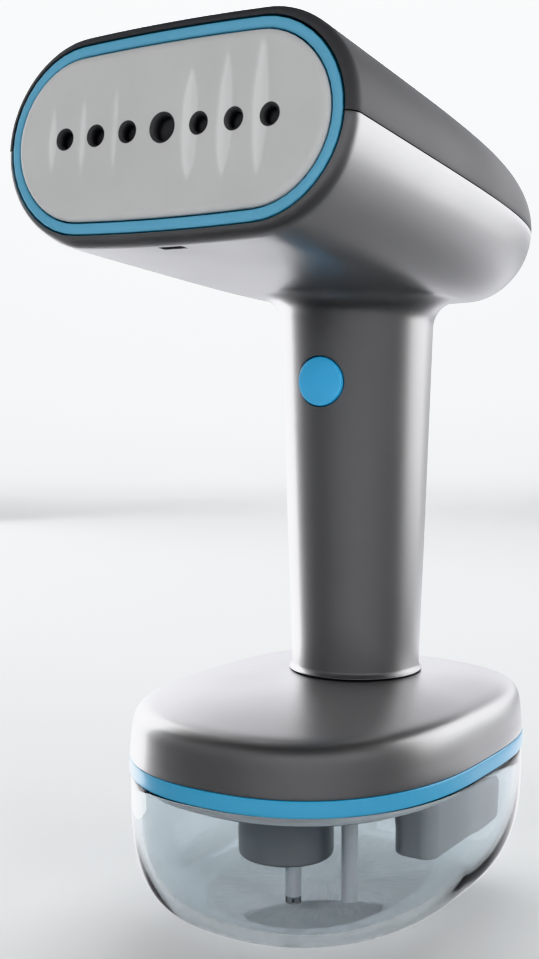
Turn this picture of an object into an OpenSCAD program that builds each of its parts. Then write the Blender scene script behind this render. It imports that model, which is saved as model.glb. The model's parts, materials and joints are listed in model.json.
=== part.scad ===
// Hand-held garment steamer: flat wide head with a steam plate, round handle with one push
// button, and a crowned base cap that stands on a clear water tank.
// The origin is the centre of the tank's foot. +Z is up and the steam plate faces -Y.

/* [Base and tank] */
// Width of the base across its trim ring
base_w = 102; // [98:0.5:106]
// Length of the base, front to rear
base_l = 126; // [122:0.5:130]
// Height from the tank's foot to the top of the trim ring
ring_top = 45.5; // [44:0.5:47]
// Height of the trim ring
ring_h = 4.6; // [4:0.2:6]
// Roundness of the base outline at the front, 2 is an ellipse
round_front = 2.33; // [2.2:0.05:2.6]
// Roundness of the base outline at the rear
round_rear = 3.5; // [3:0.1:4]
// Roundness of the tank's foot at the rear
foot_rear = 2.6; // [2.4:0.1:3]
// Thickness of the tank's wall
tank_wall = 2.4; // [2:0.1:2.8]
// How far the tank's foot is set in from its wall
foot_inset = 21; // [18:0.5:23]
// Height of the rounded lower part of the tank
foot_h = 36; // [32:1:38]

/* [Base cap] */
// Height of the cap's shoulder crease above the ring
crease_h = 13.8; // [13:0.1:14.5]
// How far the crease is set in from the outline
crease_inset = 4.5; // [4:0.1:6]
// Height of the flat land round the handle above the ring
land_h = 18.4; // [18:0.1:19]

/* [Handle] */
// Distance of the handle's axis behind the middle of the base
handle_y = 19.5; // [18:0.5:21]
// Diameter of the handle at its foot
handle_d_low = 39.6; // [39:0.2:41]
// Diameter of the handle under the head
handle_d_top = 47.2; // [46:0.2:48]
// Wall thickness of the shells
wall = 2.2; // [2:0.1:2.4]

/* [Head] */
// Distance of the steam plate's trim ring in front of the handle's axis
head_reach = 97.9; // [95:0.1:100]
// Height of the middle of the steam plate above the base ring
head_rise = 170; // [168:0.5:172]
// Lean of the head, so that the plate faces slightly upwards
head_tilt = 6; // [5:0.5:7]
// Width of the head shell
head_w = 106.8; // [105:0.2:108]
// Height of the head shell
head_h = 56; // [55:0.2:57]
// Length of the head shell, front rim to rear
head_l = 144.9; // [142:0.1:148]

/* [Steam plate] */
// Width of the plate's trim ring
plate_w = 100.4; // [99:0.1:101]
// Height of the round ends of the trim ring
plate_h = 45.9; // [45:0.1:46.5]
// Visible width of the trim ring
trim_w = 2.6; // [2.2:0.1:3]
// Diameter of the middle steam hole
hole_mid_d = 6.2; // [5.8:0.1:6.6]
// Diameter of the other steam holes
hole_d = 4.2; // [4:0.1:4.6]

/* [Button] */
// Diameter of the steam button
button_d = 14.6; // [14:0.1:15]
// Height of the button above the base ring
button_rise = 108.3; // [106:0.5:110]
// How far the button travels
button_travel = 1.5; // [1:0.1:1.6]

/* [Hidden] */
$fn = 48;
eps = 0.01;
through = 9;            // depth of a cut that goes right through a thin wall
slack = 0.3;            // clearance between neighbouring shells
shut = 0.15;            // clearance between parts that are screwed or laid together
outline_n = 64;         // points round the base outline
round_n = 40;           // points round the handle
bow = 0.08;             // how far the flat sides of the head's section bow out
end_n = 12;             // steps round each half-round end of the head's section
side_n = 6;             // steps along each flat side

// Base and cap heights
ring_low = ring_top - ring_h;
land_z = ring_top + land_h;
land_r = 23;
spigot_hole_r = 17.6;
seal_h = 2;
seal_low = ring_low - 1 - seal_h;
floor_low = ring_low;
floor_t = 2.4;
floor_top = floor_low + floor_t;
floor_inset = 2.9;      // of the floor plate inside the ring
spigot_inset = 5.2;     // of the floor's spigot inside the tank mouth
spigot_wall = 1.5;
lip_t = 1.4;            // thickness of the lips that rest on the base floor
tank_inset = 0.4;       // of the tank's wall inside the ring's outline
tank_power = 2.8;       // 2 gives the tank's foot an elliptic rounding
tank_angles = [0, 20, 36, 50, 62, 73, 82, 90];
rim_h = 7;              // height of the cap's upright rim
crown_steps = [0.2, 0.45, 0.7, 0.88, 1];
cap_boss_r = 3.4;
cap_boss_pos = [[-31, -14, 15.4], [31, -14, 15.4], [-27, 38, 16.6], [16, 44, 16.6]]; // x, y, top
cap_screw_r = 1.4;
cap_screw_l = 9;
vent_pos = [-22, 12];
vent_stem_r = 1.35;
gland_neck_r = 5;
gland_bore_r = 3.6;
gland_len = 12;
gland_rise = 6.6;       // of the gland's axis above the trim ring
gland_flange = 1.4;
gland_flange_t = 1.6;

// Handle
handle_low = land_z + slack;
handle_top = ring_top + 134.5;
fillet_r = 8;
fillet_angles = [0, 20, 40, 60, 80];
handle_taper = (handle_d_top - handle_d_low) / 2 / (handle_top - fillet_r - handle_low);
head_slope = 3;         // slope of the head's underside at the handle, in degrees
spigot_r = 17.2;
spigot_bore_r = 15;
spigot_low = ring_top + 9;
collar_low = ring_top + 11;
collar_h = 4;
collar_r = 21;
collar_screw_r = 1;

// Head, in its own frame: +Y runs back from the rim and +Z is up across the plate
head_y = handle_y - head_reach;
head_z = ring_top + head_rise;
head_a = head_w / 2;
head_e = head_h / 2 / (1 + bow);
rear_from = 14.2;       // where the rear rounding starts
rear_power = 4.8;
narrowing = 0.02;       // of the width from rim to rear
flattening = 0.135;     // of the height from rim to rear
droop = 0.024;          // fall of the section's middle for each millimetre back
rim_round = 3.7;
rim_inset = 1.5;
split_z = -0.5;         // height of the joint between the cover and the lower shell, at the rim
split_cut = 200;        // size of the block that cuts the head along the joint
head_stations = [
    0.9, rim_round, rear_from, 40, 66, 86, 100, 111, 120, 128, 134.5, 139, 142, 144, head_l - 0.15,
];
drain = [7.4, 3, 9];    // drain slot in the underside of the head
drain_y = 6;

// Steam plate and boiler, in the head's frame
plate_a = plate_w / 2;
plate_e = plate_h / 2;
plate_front = -1.2;
plate_back = 2;
hole_x = [-31.3, -21.1, -10.9, 10.9, 21.1, 31.3];
hole_z = 0.35;
countersink = 0.8;
ring_front = -0.4;
ring_back = 2.2;
block_a = 43;
block_e = 18;
block_front = plate_back + shut;
block_back = 24;
chamber_front = 10;
chamber_a = 34;
chamber_e = 9.5;
element_r = 3.2;
element_z = 13.4;
element_x = 30;
element_y = 17;
feed_r = 2;             // of the steam ways from the chamber to the holes
gasket_t = 1;
gasket_w = 2.6;
cover_t = 3;
cover_back = block_back + gasket_t + cover_t;
cover_e = 14;
cover_screw_x = 38.5;
cover_screw_r = 1.4;
spout_r = 2.2;
spout_bore_r = 1.2;
spout_back = cover_back + 9;
plate_gap = 0.35;       // between the plate and its trim ring
frame_gap = 0.6;        // between the frame and the block
frame_step = 8;         // where the frame narrows to hold the block
frame_back = 14;
frame_lip = 3;
thermostat_x = 18;
thermostat_r = 7;
thermostat_back = cover_back + 5;
fuse_x = -28;
fuse_r = 1.9;
fuse_l = 12;
shield_y = 33;
shield_t = 1.6;
shield_gap = 0.9;       // of the shield inside the shell
window = [44, 20, 22];  // opening in the shield for the spout and the wires
window_low = [-18, -9]; // its lower left corner
boss_x = 22;
boss_z = -22;
boss_r = 4;
boss_back = 46;
boss_screw_r = 1.1;

// Button and switch, on a horizontal axis through the front of the handle
button_z = ring_top + button_rise;
button_r = button_d / 2;
handle_r_at_button = handle_d_low / 2 + handle_taper * (button_z - handle_low);
button_front = handle_y - handle_r_at_button;
flange_r = button_r + 1.3;
flange_y = button_front + 4.9;
flange_t = 1.2;
stem_r = 2.4;
guide_front = flange_y - 0.1;
guide_back = flange_y + 9;
guide_t = 1.2;
guide_wall = 1.6;
stem_back = guide_back + guide_t + 0.6;
ear_z = 15;
ear_w = 7;
guide_screw_r = 1.1;
switch_y = stem_back + button_travel + 0.1;
switch_size = [6.4, 10, 20];
plunger_r = 1.5;

// Pump, upright in the round pod
pump_x = -1;
pump_y = -20;
pod_r = 14.5;
pod_t = 1.6;
pod_draft = 0.6;        // how much narrower the round pod is at its foot
pod_low = ring_top - 29.5;
pod_floor = pod_low + pod_t;
pump_low = pod_floor + 1.5;
pump_stroke = 2;
pump_base_r = 9;
pump_head_r = 8;
pump_head_low = 1.2;    // of the pump's head above the coil
pump_head_h = 7.3;
barb_z = 5.2;           // of the outlet above the coil
barb_r = 1.8;
barb_bore_r = 1;
barb_l = 13.5;
bobbin_r = 10.8;
bobbin_t = 1.2;
winding_r = 10.2;
yoke = [23.8, 8, 0.9];  // width, depth and sheet thickness
mount_r = 11.6;
mount_h = 6;
coil_low = pump_low + 9;
coil_h = 15;
coil_top = coil_low + coil_h;
sleeve_r = 5.2;
sleeve_bore_r = 4.1;
piston_r = 4;
piston_low = coil_low + pump_stroke + 3;
piston_h = 8;
piston_bore_r = 1.2;

// Long pod with the control board
board_x = 32.5;
board_y = 19;
board_pod = [13.5, 50];
board_pod_r = 4.5;
board_pod_low = ring_top - 29.5;
board_t = 1.6;
board_w = 40;
board_h = 28;
board_rise = 3;
board_back = 3;         // of the board's back from the middle of the pod
board_blocks = [[-18, 8, 4.6, 12, 10], [11, 20, 4, 7, 7]]; // y, z, then size in x, y and z
board_can = [2, 12, 5, 6, 14];
terminal_y = 44;
terminal = [22, 10, 8];
terminal_pitch = 6.5;

// Tubes that hang in the tank
pickup_pos = [5.5, -26.5];
pickup_low = 4;
return_pos = [23, -25];
return_low = 8;
tube_r = 2.3;
tube_bore_r = 1.5;
tube_top = pod_floor + 1.3;
strainer_h = 2.2;
strainer_plug = 3;
strainer_bore_r = 0.9;

// Routes of the hose and the wires, from the base up the handle to the boiler
hose_x = -6;
hose_path = [
    [pump_x, -6.4, 48.3], [pump_x, -2, 48.5], [-1.2, 3, 50], [-2, 8, 53], [-3.5, 12.5, 58],
    [-5, 16, 66], [hose_x, 20, 78], [hose_x, 24, 94], [hose_x, 27, 116], [hose_x, 29, 142],
    [hose_x, 29, 165], [hose_x, 27, 181], [hose_x, 22, 192], [hose_x, 13, 200.5], [hose_x, 2, 205],
    [hose_x, -10, 208], [hose_x, -22, 209.6], [hose_x, -33, 210.7], [hose_x, -41.4, 211.6],
];
wire_x = 6;
wire_path = [
    [wire_x, 38.6, 48], [wire_x, 34, 48.5], [wire_x, 30, 49.7], [wire_x, 27, 52.5], [wire_x, 25.5, 57],
    [wire_x, 25, 65], [wire_x, 26, 86], [wire_x, 28, 102], [wire_x, 30, 122], [wire_x, 31, 145],
    [wire_x, 31, 165], [wire_x, 29, 180], [wire_x, 23, 192], [wire_x, 13, 200.5], [wire_x, 0, 205],
    [wire_x, -12, 207], [wire_x, -24, 208.4], [wire_x, -34, 209.4], [wire_x, -42, 210.4],
];
hose_r = 2.4;
wire_r = 2.6;

// Colours
blue = [0.30, 0.62, 0.82];
shell_grey = [0.74, 0.74, 0.75];
cover_grey = [0.44, 0.44, 0.45];
plate_grey = [0.72, 0.72, 0.72];
dark = [0.12, 0.12, 0.13];
pod_grey = [0.55, 0.55, 0.56];
metal = [0.70, 0.71, 0.73];
steel = [0.55, 0.56, 0.58];
clear = [0.80, 0.86, 0.90, 0.35];
rubber = [0.20, 0.20, 0.21];
white = [0.90, 0.90, 0.88];
green = [0.10, 0.38, 0.22];
copper = [0.72, 0.42, 0.22];

// ---------- Shape helpers ----------

// A power that keeps the sign of its base
function signed_pow(v, p) = sign(v) * pow(abs(v), p);

// Ring of the base outline at height z, set in by inset; round at the front, squarer at the rear
function base_outline(inset, z, rear = round_rear) = [
    for (i = [0:outline_n - 1])
        let (t = 360 * i / outline_n, m = sin(t) < 0 ? round_front : rear)
        [(base_w / 2 - inset) * signed_pow(cos(t), 2 / m),
         (base_l / 2 - inset) * signed_pow(sin(t), 2 / m), z]
];

// Horizontal circle of n points
function circle_ring(r, z, y = 0, n = outline_n, slope = 0) = [
    for (i = [0:n - 1])
        let (t = 360 * i / n)
        [r * cos(t), y + r * sin(t), z - tan(slope) * r * sin(t)]
];

// Ring between two rings
function mix(a, b, w) = [for (i = [0:len(a) - 1]) a[i] * (1 - w) + b[i] * w];

// Section of the head: half-round ends of radius e, flat sides that bow out, half width a
function oval(a, e, y, z = 0) = let (
    corners = concat(
        [for (k = [0:end_n]) let (t = -90 + 180 * k / end_n) [-(a - e) - e * cos(t), e * sin(t)]],
        [for (k = [1:side_n - 1]) [-(a - e) * (1 - 2 * k / side_n), e]],
        [for (k = [0:end_n]) let (t = 90 - 180 * k / end_n) [(a - e) + e * cos(t), e * sin(t)]],
        [for (k = [1:side_n - 1]) [(a - e) * (1 - 2 * k / side_n), -e]]
    )
) [for (p = corners) [p[0], y, z + p[1] * (1 + bow * (1 - pow(p[0] / a, 2)))]];

// How much of its full section the head keeps at distance y from the rim, for a length of l
function rear_share(y, l) = y <= rear_from ? 1
    : pow(max(0, 1 - pow((y - rear_from) / (l - rear_from), rear_power)), 1 / rear_power);

// Section of the head's shell at y, set in by inset, for a length of l
function head_section(y, inset, l) = let (
    share = rear_share(y, l),
    a = (head_a * (1 - narrowing * y / head_l) - inset) * share,
    e = (head_e * (1 - flattening * (y - rim_round) / head_l) - inset) * share
) oval(a, e, y, -droop * (y - rim_round));

// Handle radius at height z
function handle_r(z) = handle_d_low / 2 + handle_taper * (z - handle_low);

// Closed solid through a list of rings; the first ring and the last are flat caps
module loft(rings) {
    n = len(rings[0]);
    last = len(rings) - 1;
    polyhedron(
        points = [for (r = rings) each r],
        faces = concat(
            [[for (i = [0:n - 1]) i]],
            [for (r = [0:last - 1]) for (i = [0:n - 1]) each quad(r, r + 1, i, n)],
            [[for (i = [n - 1:-1:0]) last * n + i]]
        )
    );
}

// Closed band through a list of rings, the last joined to the first
module loop_loft(rings) {
    n = len(rings[0]);
    m = len(rings);
    polyhedron(
        points = [for (r = rings) each r],
        faces = [for (r = [0:m - 1]) for (i = [0:n - 1]) each quad(r, (r + 1) % m, i, n)]
    );
}

// Two triangles between ring r and ring s at point i of n
function quad(r, s, i, n) = let (j = (i + 1) % n)
    [[r * n + i, s * n + i, s * n + j], [r * n + i, s * n + j, r * n + j]];

// Round tube of radius r along a path, with rings square to it and sides points each
module sweep(path, r, sides = 8) {
    last = len(path) - 1;
    rings = [
        for (k = [0:last])
            let (
                t = unit(path[min(k + 1, last)] - path[max(k - 1, 0)]),
                u = unit(cross([1, 0, 0], t)),
                v = cross(t, u)
            )
            [for (i = [0:sides - 1]) path[k] + r * (cos(360 * i / sides) * u + sin(360 * i / sides) * v)]
    ];
    loft(rings);
}
function unit(v) = v / norm(v);

// Coil spring standing on z = 0
module coil_spring(r, wire, turns, h, steps = 12, sides = 6) {
    last = turns * steps;
    rings = [
        for (k = [0:last])
            let (a = 360 * k / steps, out = [cos(a), sin(a), 0], z = wire + (h - 2 * wire) * k / last)
            [for (i = [0:sides - 1])
                out * (r + wire * cos(360 * i / sides)) + [0, 0, z - wire * sin(360 * i / sides)]]
    ];
    loft(rings);
}

// Ring with a square section
module ring_solid(outer, inner, h) {
    difference() {
        cylinder(r = outer, h = h);
        translate([0, 0, -1]) cylinder(r = inner, h = h + 2);
    }
}

// Pan-head screw with its head's underside at z = 0 and its shank pointing down
module screw(r, length, head_r, head_h) {
    cylinder(r = head_r, h = head_h);
    translate([0, 0, -length]) cylinder(r = r, h = length + eps);
}

// Size of a box that is t larger on every side
function grown(size, t) = [size[0] + 2 * t, size[1] + 2 * t];

// Upright box with round corners, its middle at the origin of x and y
module round_box(size, r, h) {
    linear_extrude(h) hull() {
        for (sx = [-1, 1], sy = [-1, 1])
            translate([sx * (size[0] / 2 - r), sy * (size[1] / 2 - r)]) circle(r = r, $fn = 32);
    }
}

// Places its children in the head's frame
module in_head() {
    translate([0, head_y, head_z]) rotate([-head_tilt, 0, 0]) children();
}

// Places its children on the plane between the cover and the lower shell, which follows the
// middle of the head's section
module at_split() {
    in_head() translate([0, 0, split_z]) rotate([-atan(droop), 0, 0]) children();
}

// Turns +Z to +Y
module facing_back() {
    rotate([-90, 0, 0]) children();
}

// Round hole or pin along +Y from y0 to y1
module along_y(r, y0, y1) {
    translate([0, y0, 0]) facing_back() cylinder(r = r, h = y1 - y0);
}

// ---------- Base and tank ----------

// Rings of the tank's outside, or of its inside when set in by t and raised by t
function tank_rings(t) = concat(
    [for (a = tank_angles)
        base_outline(tank_inset + t + (foot_inset - tank_inset) * (1 - pow(sin(a), 2 / tank_power)),
                     t + (foot_h - t) * (1 - pow(cos(a), 2 / tank_power)),
                     foot_rear + (round_rear - foot_rear) * sin(a))],
    [base_outline(tank_inset + t, ring_low - slack)]
);
function reversed(v) = [for (i = [len(v) - 1:-1:0]) v[i]];

module water_tank() {
    color(clear) loft(concat(tank_rings(0), reversed(tank_rings(tank_wall))));
}

module tank_seal() {
    outer = tank_inset + tank_wall + 0.25;
    color(rubber) loop_loft([
        base_outline(outer + 0.6, seal_low), base_outline(outer, seal_low + seal_h / 2),
        base_outline(outer + 0.6, seal_low + seal_h), base_outline(spigot_inset - shut, seal_low + seal_h),
        base_outline(spigot_inset - shut, seal_low),
    ]);
}

module base_ring() {
    edge = 0.35;
    inner = 2.4;
    color(blue) loop_loft([
        base_outline(edge, ring_low), base_outline(0, ring_low + edge),
        base_outline(0, ring_top - edge), base_outline(edge, ring_top),
        base_outline(inner, ring_top), base_outline(inner, ring_low),
    ]);
}

// Ring of the cap's surface, w from 0 at the crease to 1 at the land, lowered and set in by t
function crown_ring(w, t) = mix(
    base_outline(crease_inset + t, ring_top + crease_h - t),
    circle_ring(land_r, ring_top + crease_h - t, handle_y), w)
    + [for (i = [1:outline_n]) [0, 0, (land_h - crease_h) * sin(90 * w)]];

// Rings of the cap's rounded shoulder from the rim to the crease, set in by t
function shoulder_rings(t) = concat(
    [base_outline(0.5 + t, ring_top)],
    [for (k = [0:4]) let (a = 22.5 * k)
        base_outline(0.2 + t + (crease_inset - 0.2) * (1 - cos(a)),
                     ring_top + rim_h + (crease_h - rim_h) * sin(a) - (k > 0 ? t * sin(a) : 0))]
);
module base_cap() {
    color(shell_grey) difference() {
        union() {
            loop_loft(concat(
                shoulder_rings(0),
                [for (w = crown_steps) crown_ring(w, 0)],
                [circle_ring(spigot_hole_r, land_z, handle_y)],
                [circle_ring(spigot_hole_r, land_z - wall, handle_y)],
                [for (w = reversed(crown_steps)) crown_ring(w, wall)],
                reversed(shoulder_rings(wall))
            ));
            for (p = cap_boss_pos)
                translate([p[0], p[1], floor_top + shut])
                    cylinder(r = cap_boss_r, h = ring_top + p[2] - floor_top - shut);
        }
        for (p = cap_boss_pos)
            translate([p[0], p[1], floor_top]) cylinder(r = cap_screw_r - 0.1, h = cap_screw_l);
        gland_place() along_y(gland_neck_r + shut, -20, 5);
    }
}

module base_floor() {
    spigot_low = seal_low - 0.8;
    color(pod_grey) difference() {
        loft([
            base_outline(spigot_inset, spigot_low), base_outline(spigot_inset, floor_low),
            base_outline(floor_inset, floor_low), base_outline(floor_inset, floor_top),
        ]);
        translate([0, 0, spigot_low - 1]) loft([
            base_outline(spigot_inset + spigot_wall, 0),
            base_outline(spigot_inset + spigot_wall, floor_low - spigot_low + 1),
        ]);
        translate([pump_x, pump_y, floor_low - 1]) cylinder(r = pod_r + shut, h = through);
        translate([board_x, board_y, floor_low - 1])
            round_box(grown(board_pod, shut), board_pod_r, through);
        translate([return_pos[0], return_pos[1], floor_low - 1]) cylinder(r = tube_r + shut, h = through);
        translate([vent_pos[0], vent_pos[1], floor_low - 1]) cylinder(r = vent_stem_r + shut, h = through);
        for (p = cap_boss_pos)
            translate([p[0], p[1], floor_low - 1]) cylinder(r = cap_screw_r + 0.2, h = through);
    }
}

module base_screws() {
    color(steel) for (p = cap_boss_pos)
        translate([p[0], p[1], floor_low - shut]) mirror([0, 0, 1])
            screw(cap_screw_r - 0.15, cap_screw_l, 2.7, 1.6);
}

module vent_valve() {
    color(rubber) translate([vent_pos[0], vent_pos[1], 0]) {
        translate([0, 0, floor_low - 1.2]) cylinder(r = 3.6, h = 1.1);
        translate([0, 0, floor_low - 1.2]) cylinder(r = vent_stem_r, h = 6);
        translate([0, 0, floor_top + shut]) cylinder(r = 2, h = 1.6);
    }
}

module pump_pod() {
    lip = 2.4;
    edge = 1.5;
    color(pod_grey) translate([pump_x, pump_y, 0]) difference() {
        union() {
            translate([0, 0, pod_low + edge])
                cylinder(r1 = pod_r - pod_draft, r2 = pod_r, h = floor_top - pod_low);
            translate([0, 0, pod_low])
                cylinder(r1 = pod_r - pod_draft - edge, r2 = pod_r - pod_draft, h = edge + eps);
            translate([0, 0, floor_top + shut]) cylinder(r = pod_r + lip, h = lip_t);
        }
        translate([0, 0, pod_floor]) cylinder(r = pod_r - pod_t, h = 60);
        translate([pickup_pos[0] - pump_x, pickup_pos[1] - pump_y, 0]) cylinder(r = tube_r + shut, h = 60);
    }
}

module board_pod_shell() {
    lip = 1.5;
    color(pod_grey) translate([board_x, board_y, 0]) difference() {
        union() {
            translate([0, 0, board_pod_low])
                round_box(board_pod, board_pod_r, floor_top + shut + 1 - board_pod_low);
            translate([0, 0, floor_top + shut])
                round_box(grown(board_pod, lip), board_pod_r + lip, lip_t);
        }
        translate([0, 0, board_pod_low + pod_t])
            round_box(grown(board_pod, -pod_t), board_pod_r - pod_t, 60);
    }
}

module pickup_tube() {
    color(white) translate([pickup_pos[0], pickup_pos[1], pickup_low + strainer_h])
        ring_solid(tube_r, tube_bore_r, tube_top - pickup_low - strainer_h);
}

// Strainer that plugs the lower end of the pick-up tube, with slots round its foot
module inlet_filter() {
    fit = 0.05;
    color(pod_grey) translate([pickup_pos[0], pickup_pos[1], pickup_low]) difference() {
        union() {
            cylinder(r = tube_r, h = strainer_h - fit);
            cylinder(r = tube_bore_r - fit, h = strainer_h + strainer_plug);
        }
        translate([0, 0, -1]) cylinder(r = strainer_bore_r, h = through);
        for (a = [0:60:300])
            rotate([0, 0, a]) translate([tube_bore_r - 0.2, -0.3, 0.6]) cube([2, 0.6, 1.2]);
    }
}

module return_tube() {
    color(white) translate([return_pos[0], return_pos[1], 0]) {
        translate([0, 0, return_low]) ring_solid(tube_r, tube_bore_r, floor_top + 2 - return_low);
        translate([0, 0, floor_top + shut]) ring_solid(tube_r + 1.3, tube_bore_r, lip_t);
    }
}

// ---------- Pump ----------

module at_pump(z) {
    translate([pump_x, pump_y, z]) children();
}

module pump_body() {
    color(white) {
        difference() {
            union() {
                at_pump(pump_low) cylinder(r = pump_base_r, h = coil_low - pump_low - 1.2);
                at_pump(coil_low - 1.3) cylinder(r = sleeve_bore_r - 0.1, h = 2.3);
                translate([pickup_pos[0], pickup_pos[1], pump_low]) cylinder(r = 3.2, h = 4);
            }
            translate([pickup_pos[0], pickup_pos[1], pod_floor]) cylinder(r = 1.2, h = 4);
        }
        difference() {
            union() {
                at_pump(coil_top + pump_head_low) cylinder(r = pump_head_r, h = pump_head_h);
                at_pump(coil_top + barb_z) along_y(barb_r, 2, barb_l);
            }
            at_pump(coil_top + barb_z) along_y(barb_bore_r, 0, barb_l + 1);
            at_pump(coil_top) cylinder(r = sleeve_bore_r, h = 4);
        }
    }
}

module pump_sleeve() {
    color(steel) at_pump(coil_low - 1.2) ring_solid(sleeve_r, sleeve_bore_r, coil_h + 2.4);
}

module pump_coil() {
    bore = sleeve_r + shut;
    color(copper) at_pump(coil_low + bobbin_t + 0.1)
        ring_solid(winding_r, sleeve_r + 0.9, coil_h - 2 * bobbin_t - 0.2);
    color(white) at_pump(coil_low) {
        ring_solid(bobbin_r, bore, bobbin_t);
        translate([0, 0, bobbin_t - eps])
            ring_solid(sleeve_r + 0.8, bore, coil_h - 2 * bobbin_t + 2 * eps);
        translate([0, 0, coil_h - bobbin_t]) ring_solid(bobbin_r, bore, bobbin_t);
    }
}

module pump_yoke() {
    inner_w = yoke[0] - 2 * yoke[2];
    color(steel) at_pump(coil_low - shut - yoke[2]) difference() {
        translate([-yoke[0] / 2, -yoke[1] / 2, 0]) cube([yoke[0], yoke[1], coil_h + 2 * (shut + yoke[2])]);
        translate([-inner_w / 2, -yoke[1], yoke[2]]) cube([inner_w, 2 * yoke[1], coil_h + 2 * shut]);
        translate([0, 0, -1]) cylinder(r = sleeve_r + shut, h = coil_h + 5);
    }
}

module pump_mount() {
    color(rubber) at_pump(pod_floor + shut) difference() {
        cylinder(r = mount_r, h = mount_h);
        translate([0, 0, 1.2]) cylinder(r = pump_base_r + shut, h = mount_h);
        translate([0, 0, -1]) cylinder(r = pump_base_r - 1.1, h = mount_h);
        translate([pickup_pos[0] - pump_x, pickup_pos[1] - pump_y, -1]) cylinder(r = 3.4, h = through);
    }
}

module pump_piston() {
    color(metal) at_pump(piston_low) difference() {
        cylinder(r = piston_r, h = piston_h);
        translate([0, 0, -1]) cylinder(r = piston_bore_r, h = piston_h + 2);
    }
}

module pump_spring() {
    color(steel) at_pump(coil_low + 1.1) coil_spring(3, 0.35, 4, piston_low - coil_low - 1.2);
}

// ---------- Electrics in the base ----------

module control_board() {
    color(green) translate([board_x - board_back, board_y - board_w / 2, board_pod_low + board_rise])
        cube([board_t, board_w, board_h]);
}

// Block on the board's face, given as y and z and then its size
module on_board(b) {
    translate([board_x - board_back + board_t + 0.05, board_y + b[0], board_pod_low + b[1]])
        cube([b[2], b[3], b[4]]);
}

module board_parts() {
    color(dark) for (b = board_blocks)
        on_board(b);
    color(steel) on_board(board_can);
}

module terminal_block() {
    color(white) translate([0, terminal_y, floor_top + shut]) difference() {
        translate([-terminal[0] / 2, -terminal[1] / 2, 0]) cube(terminal);
        for (x = [-terminal_pitch, 0, terminal_pitch])
            translate([x, 0, 2.5]) {
                cylinder(r = 2, h = through);
                translate([0, 0, 2.2]) along_y(1.4, -through, through);
            }
    }
}

// Places its children at the middle of the cap's rear wall, +Y pointing out
module gland_place() {
    translate([0, base_l / 2 - 0.2, ring_top + gland_rise]) children();
}

module cord_gland() {
    color(dark) gland_place() difference() {
        union() {
            along_y(gland_neck_r, gland_flange_t - gland_len, gland_flange_t - 0.1);
            along_y(gland_neck_r + gland_flange, shut, gland_flange_t);
            translate([-gland_neck_r - 2, -wall - 1.8, -3.8]) cube([2 * gland_neck_r + 4, 1.5, 5]);
        }
        along_y(gland_bore_r, -gland_len, 3);
    }
}

// ---------- Shells of the handle and head ----------

// Solid of the head, set in by inset; the front rim is rounded on the outside only
module head_solid(inset, l) {
    stations = [for (y = head_stations) if (y < l - 1) y];
    loft(concat(
        inset > 0 ? [head_section(-1, inset, l)]
            : [oval(head_a - rim_inset, head_e - rim_inset, 0, droop * rim_round)],
        [for (y = stations)
            y < rim_round && inset == 0
                ? oval(head_a - 0.5, head_e - 0.5, y, droop * (rim_round - y))
                : head_section(y, inset, l)],
        [head_section(l - 0.15, inset, l)]
    ));
}

// Solid of the handle, set in by inset, from its foot to the fillet under the head
module handle_solid(inset, low, high) {
    loft(concat(
        [circle_ring(handle_r(handle_low) + (inset > 0 ? -inset : 0.9), low, handle_y, round_n),
         circle_ring(handle_r(handle_low) - inset, handle_low + (inset > 0 ? 0.6 : 1.4), handle_y, round_n),
         circle_ring(handle_r(handle_low + 60) - inset, handle_low + 60, handle_y, round_n)],
        [for (a = fillet_angles)
            circle_ring(handle_r(handle_top - fillet_r) - inset + fillet_r * (1 - cos(a)),
                        handle_top - fillet_r + fillet_r * sin(a), handle_y, round_n, head_slope * sin(a))],
        [circle_ring(handle_r(handle_top) - inset + fillet_r * 0.82, high, handle_y, round_n, head_slope)]
    ));
}

module main_housing() {
    color(shell_grey) difference() {
        union() {
            in_head() head_solid(0, head_l);
            handle_solid(0, handle_low, handle_top + 3);
        }
        at_split() translate([-split_cut / 2, -20, -slack / 2]) cube(split_cut);
        in_head() head_solid(wall, head_l - wall);
        handle_solid(wall, handle_low + 3, handle_top + 8);
        translate([0, handle_y, handle_low - 1]) cylinder(r = spigot_bore_r, h = through);
        translate([0, 0, button_z]) along_y(button_r + slack, button_front - 10, button_front + 12);
        in_head() translate([0, drain_y, -head_h / 2]) cube(drain, center = true);
    }
    color(shell_grey) translate([0, handle_y, 0]) difference() {
        translate([0, 0, spigot_low]) cylinder(r = spigot_r, h = handle_low + 3 - spigot_low);
        translate([0, 0, spigot_low - 1]) cylinder(r = spigot_bore_r, h = 20);
        for (s = [-1, 1])
            translate([s * spigot_r, 0, collar_low + collar_h / 2]) rotate([0, 90, 0])
                cylinder(r = collar_screw_r + 0.1, h = through, center = true);
    }
    color(shell_grey) difference() {
        for (s = [-1, 1])
            in_head() translate([s * boss_x, 0, boss_z])
                along_y(boss_r, shield_y + shield_t + shut, boss_back);
        for (s = [-1, 1])
            in_head() translate([s * boss_x, 0, boss_z])
                along_y(boss_screw_r + 0.1, shield_y, boss_back - 2);
    }
}

module top_cover() {
    color(cover_grey) difference() {
        in_head() head_solid(0, head_l);
        at_split() translate([-split_cut / 2, -20, slack / 2 - split_cut]) cube(split_cut);
        in_head() head_solid(wall, head_l - wall);
    }
}

module collar_ring() {
    color(pod_grey) translate([0, handle_y, collar_low]) difference() {
        ring_solid(collar_r, spigot_r + shut, collar_h);
        for (s = [-1, 1])
            translate([s * collar_r, 0, collar_h / 2]) rotate([0, 90, 0])
                cylinder(r = collar_screw_r + 0.4, h = 2 * through, center = true);
    }
}

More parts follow.
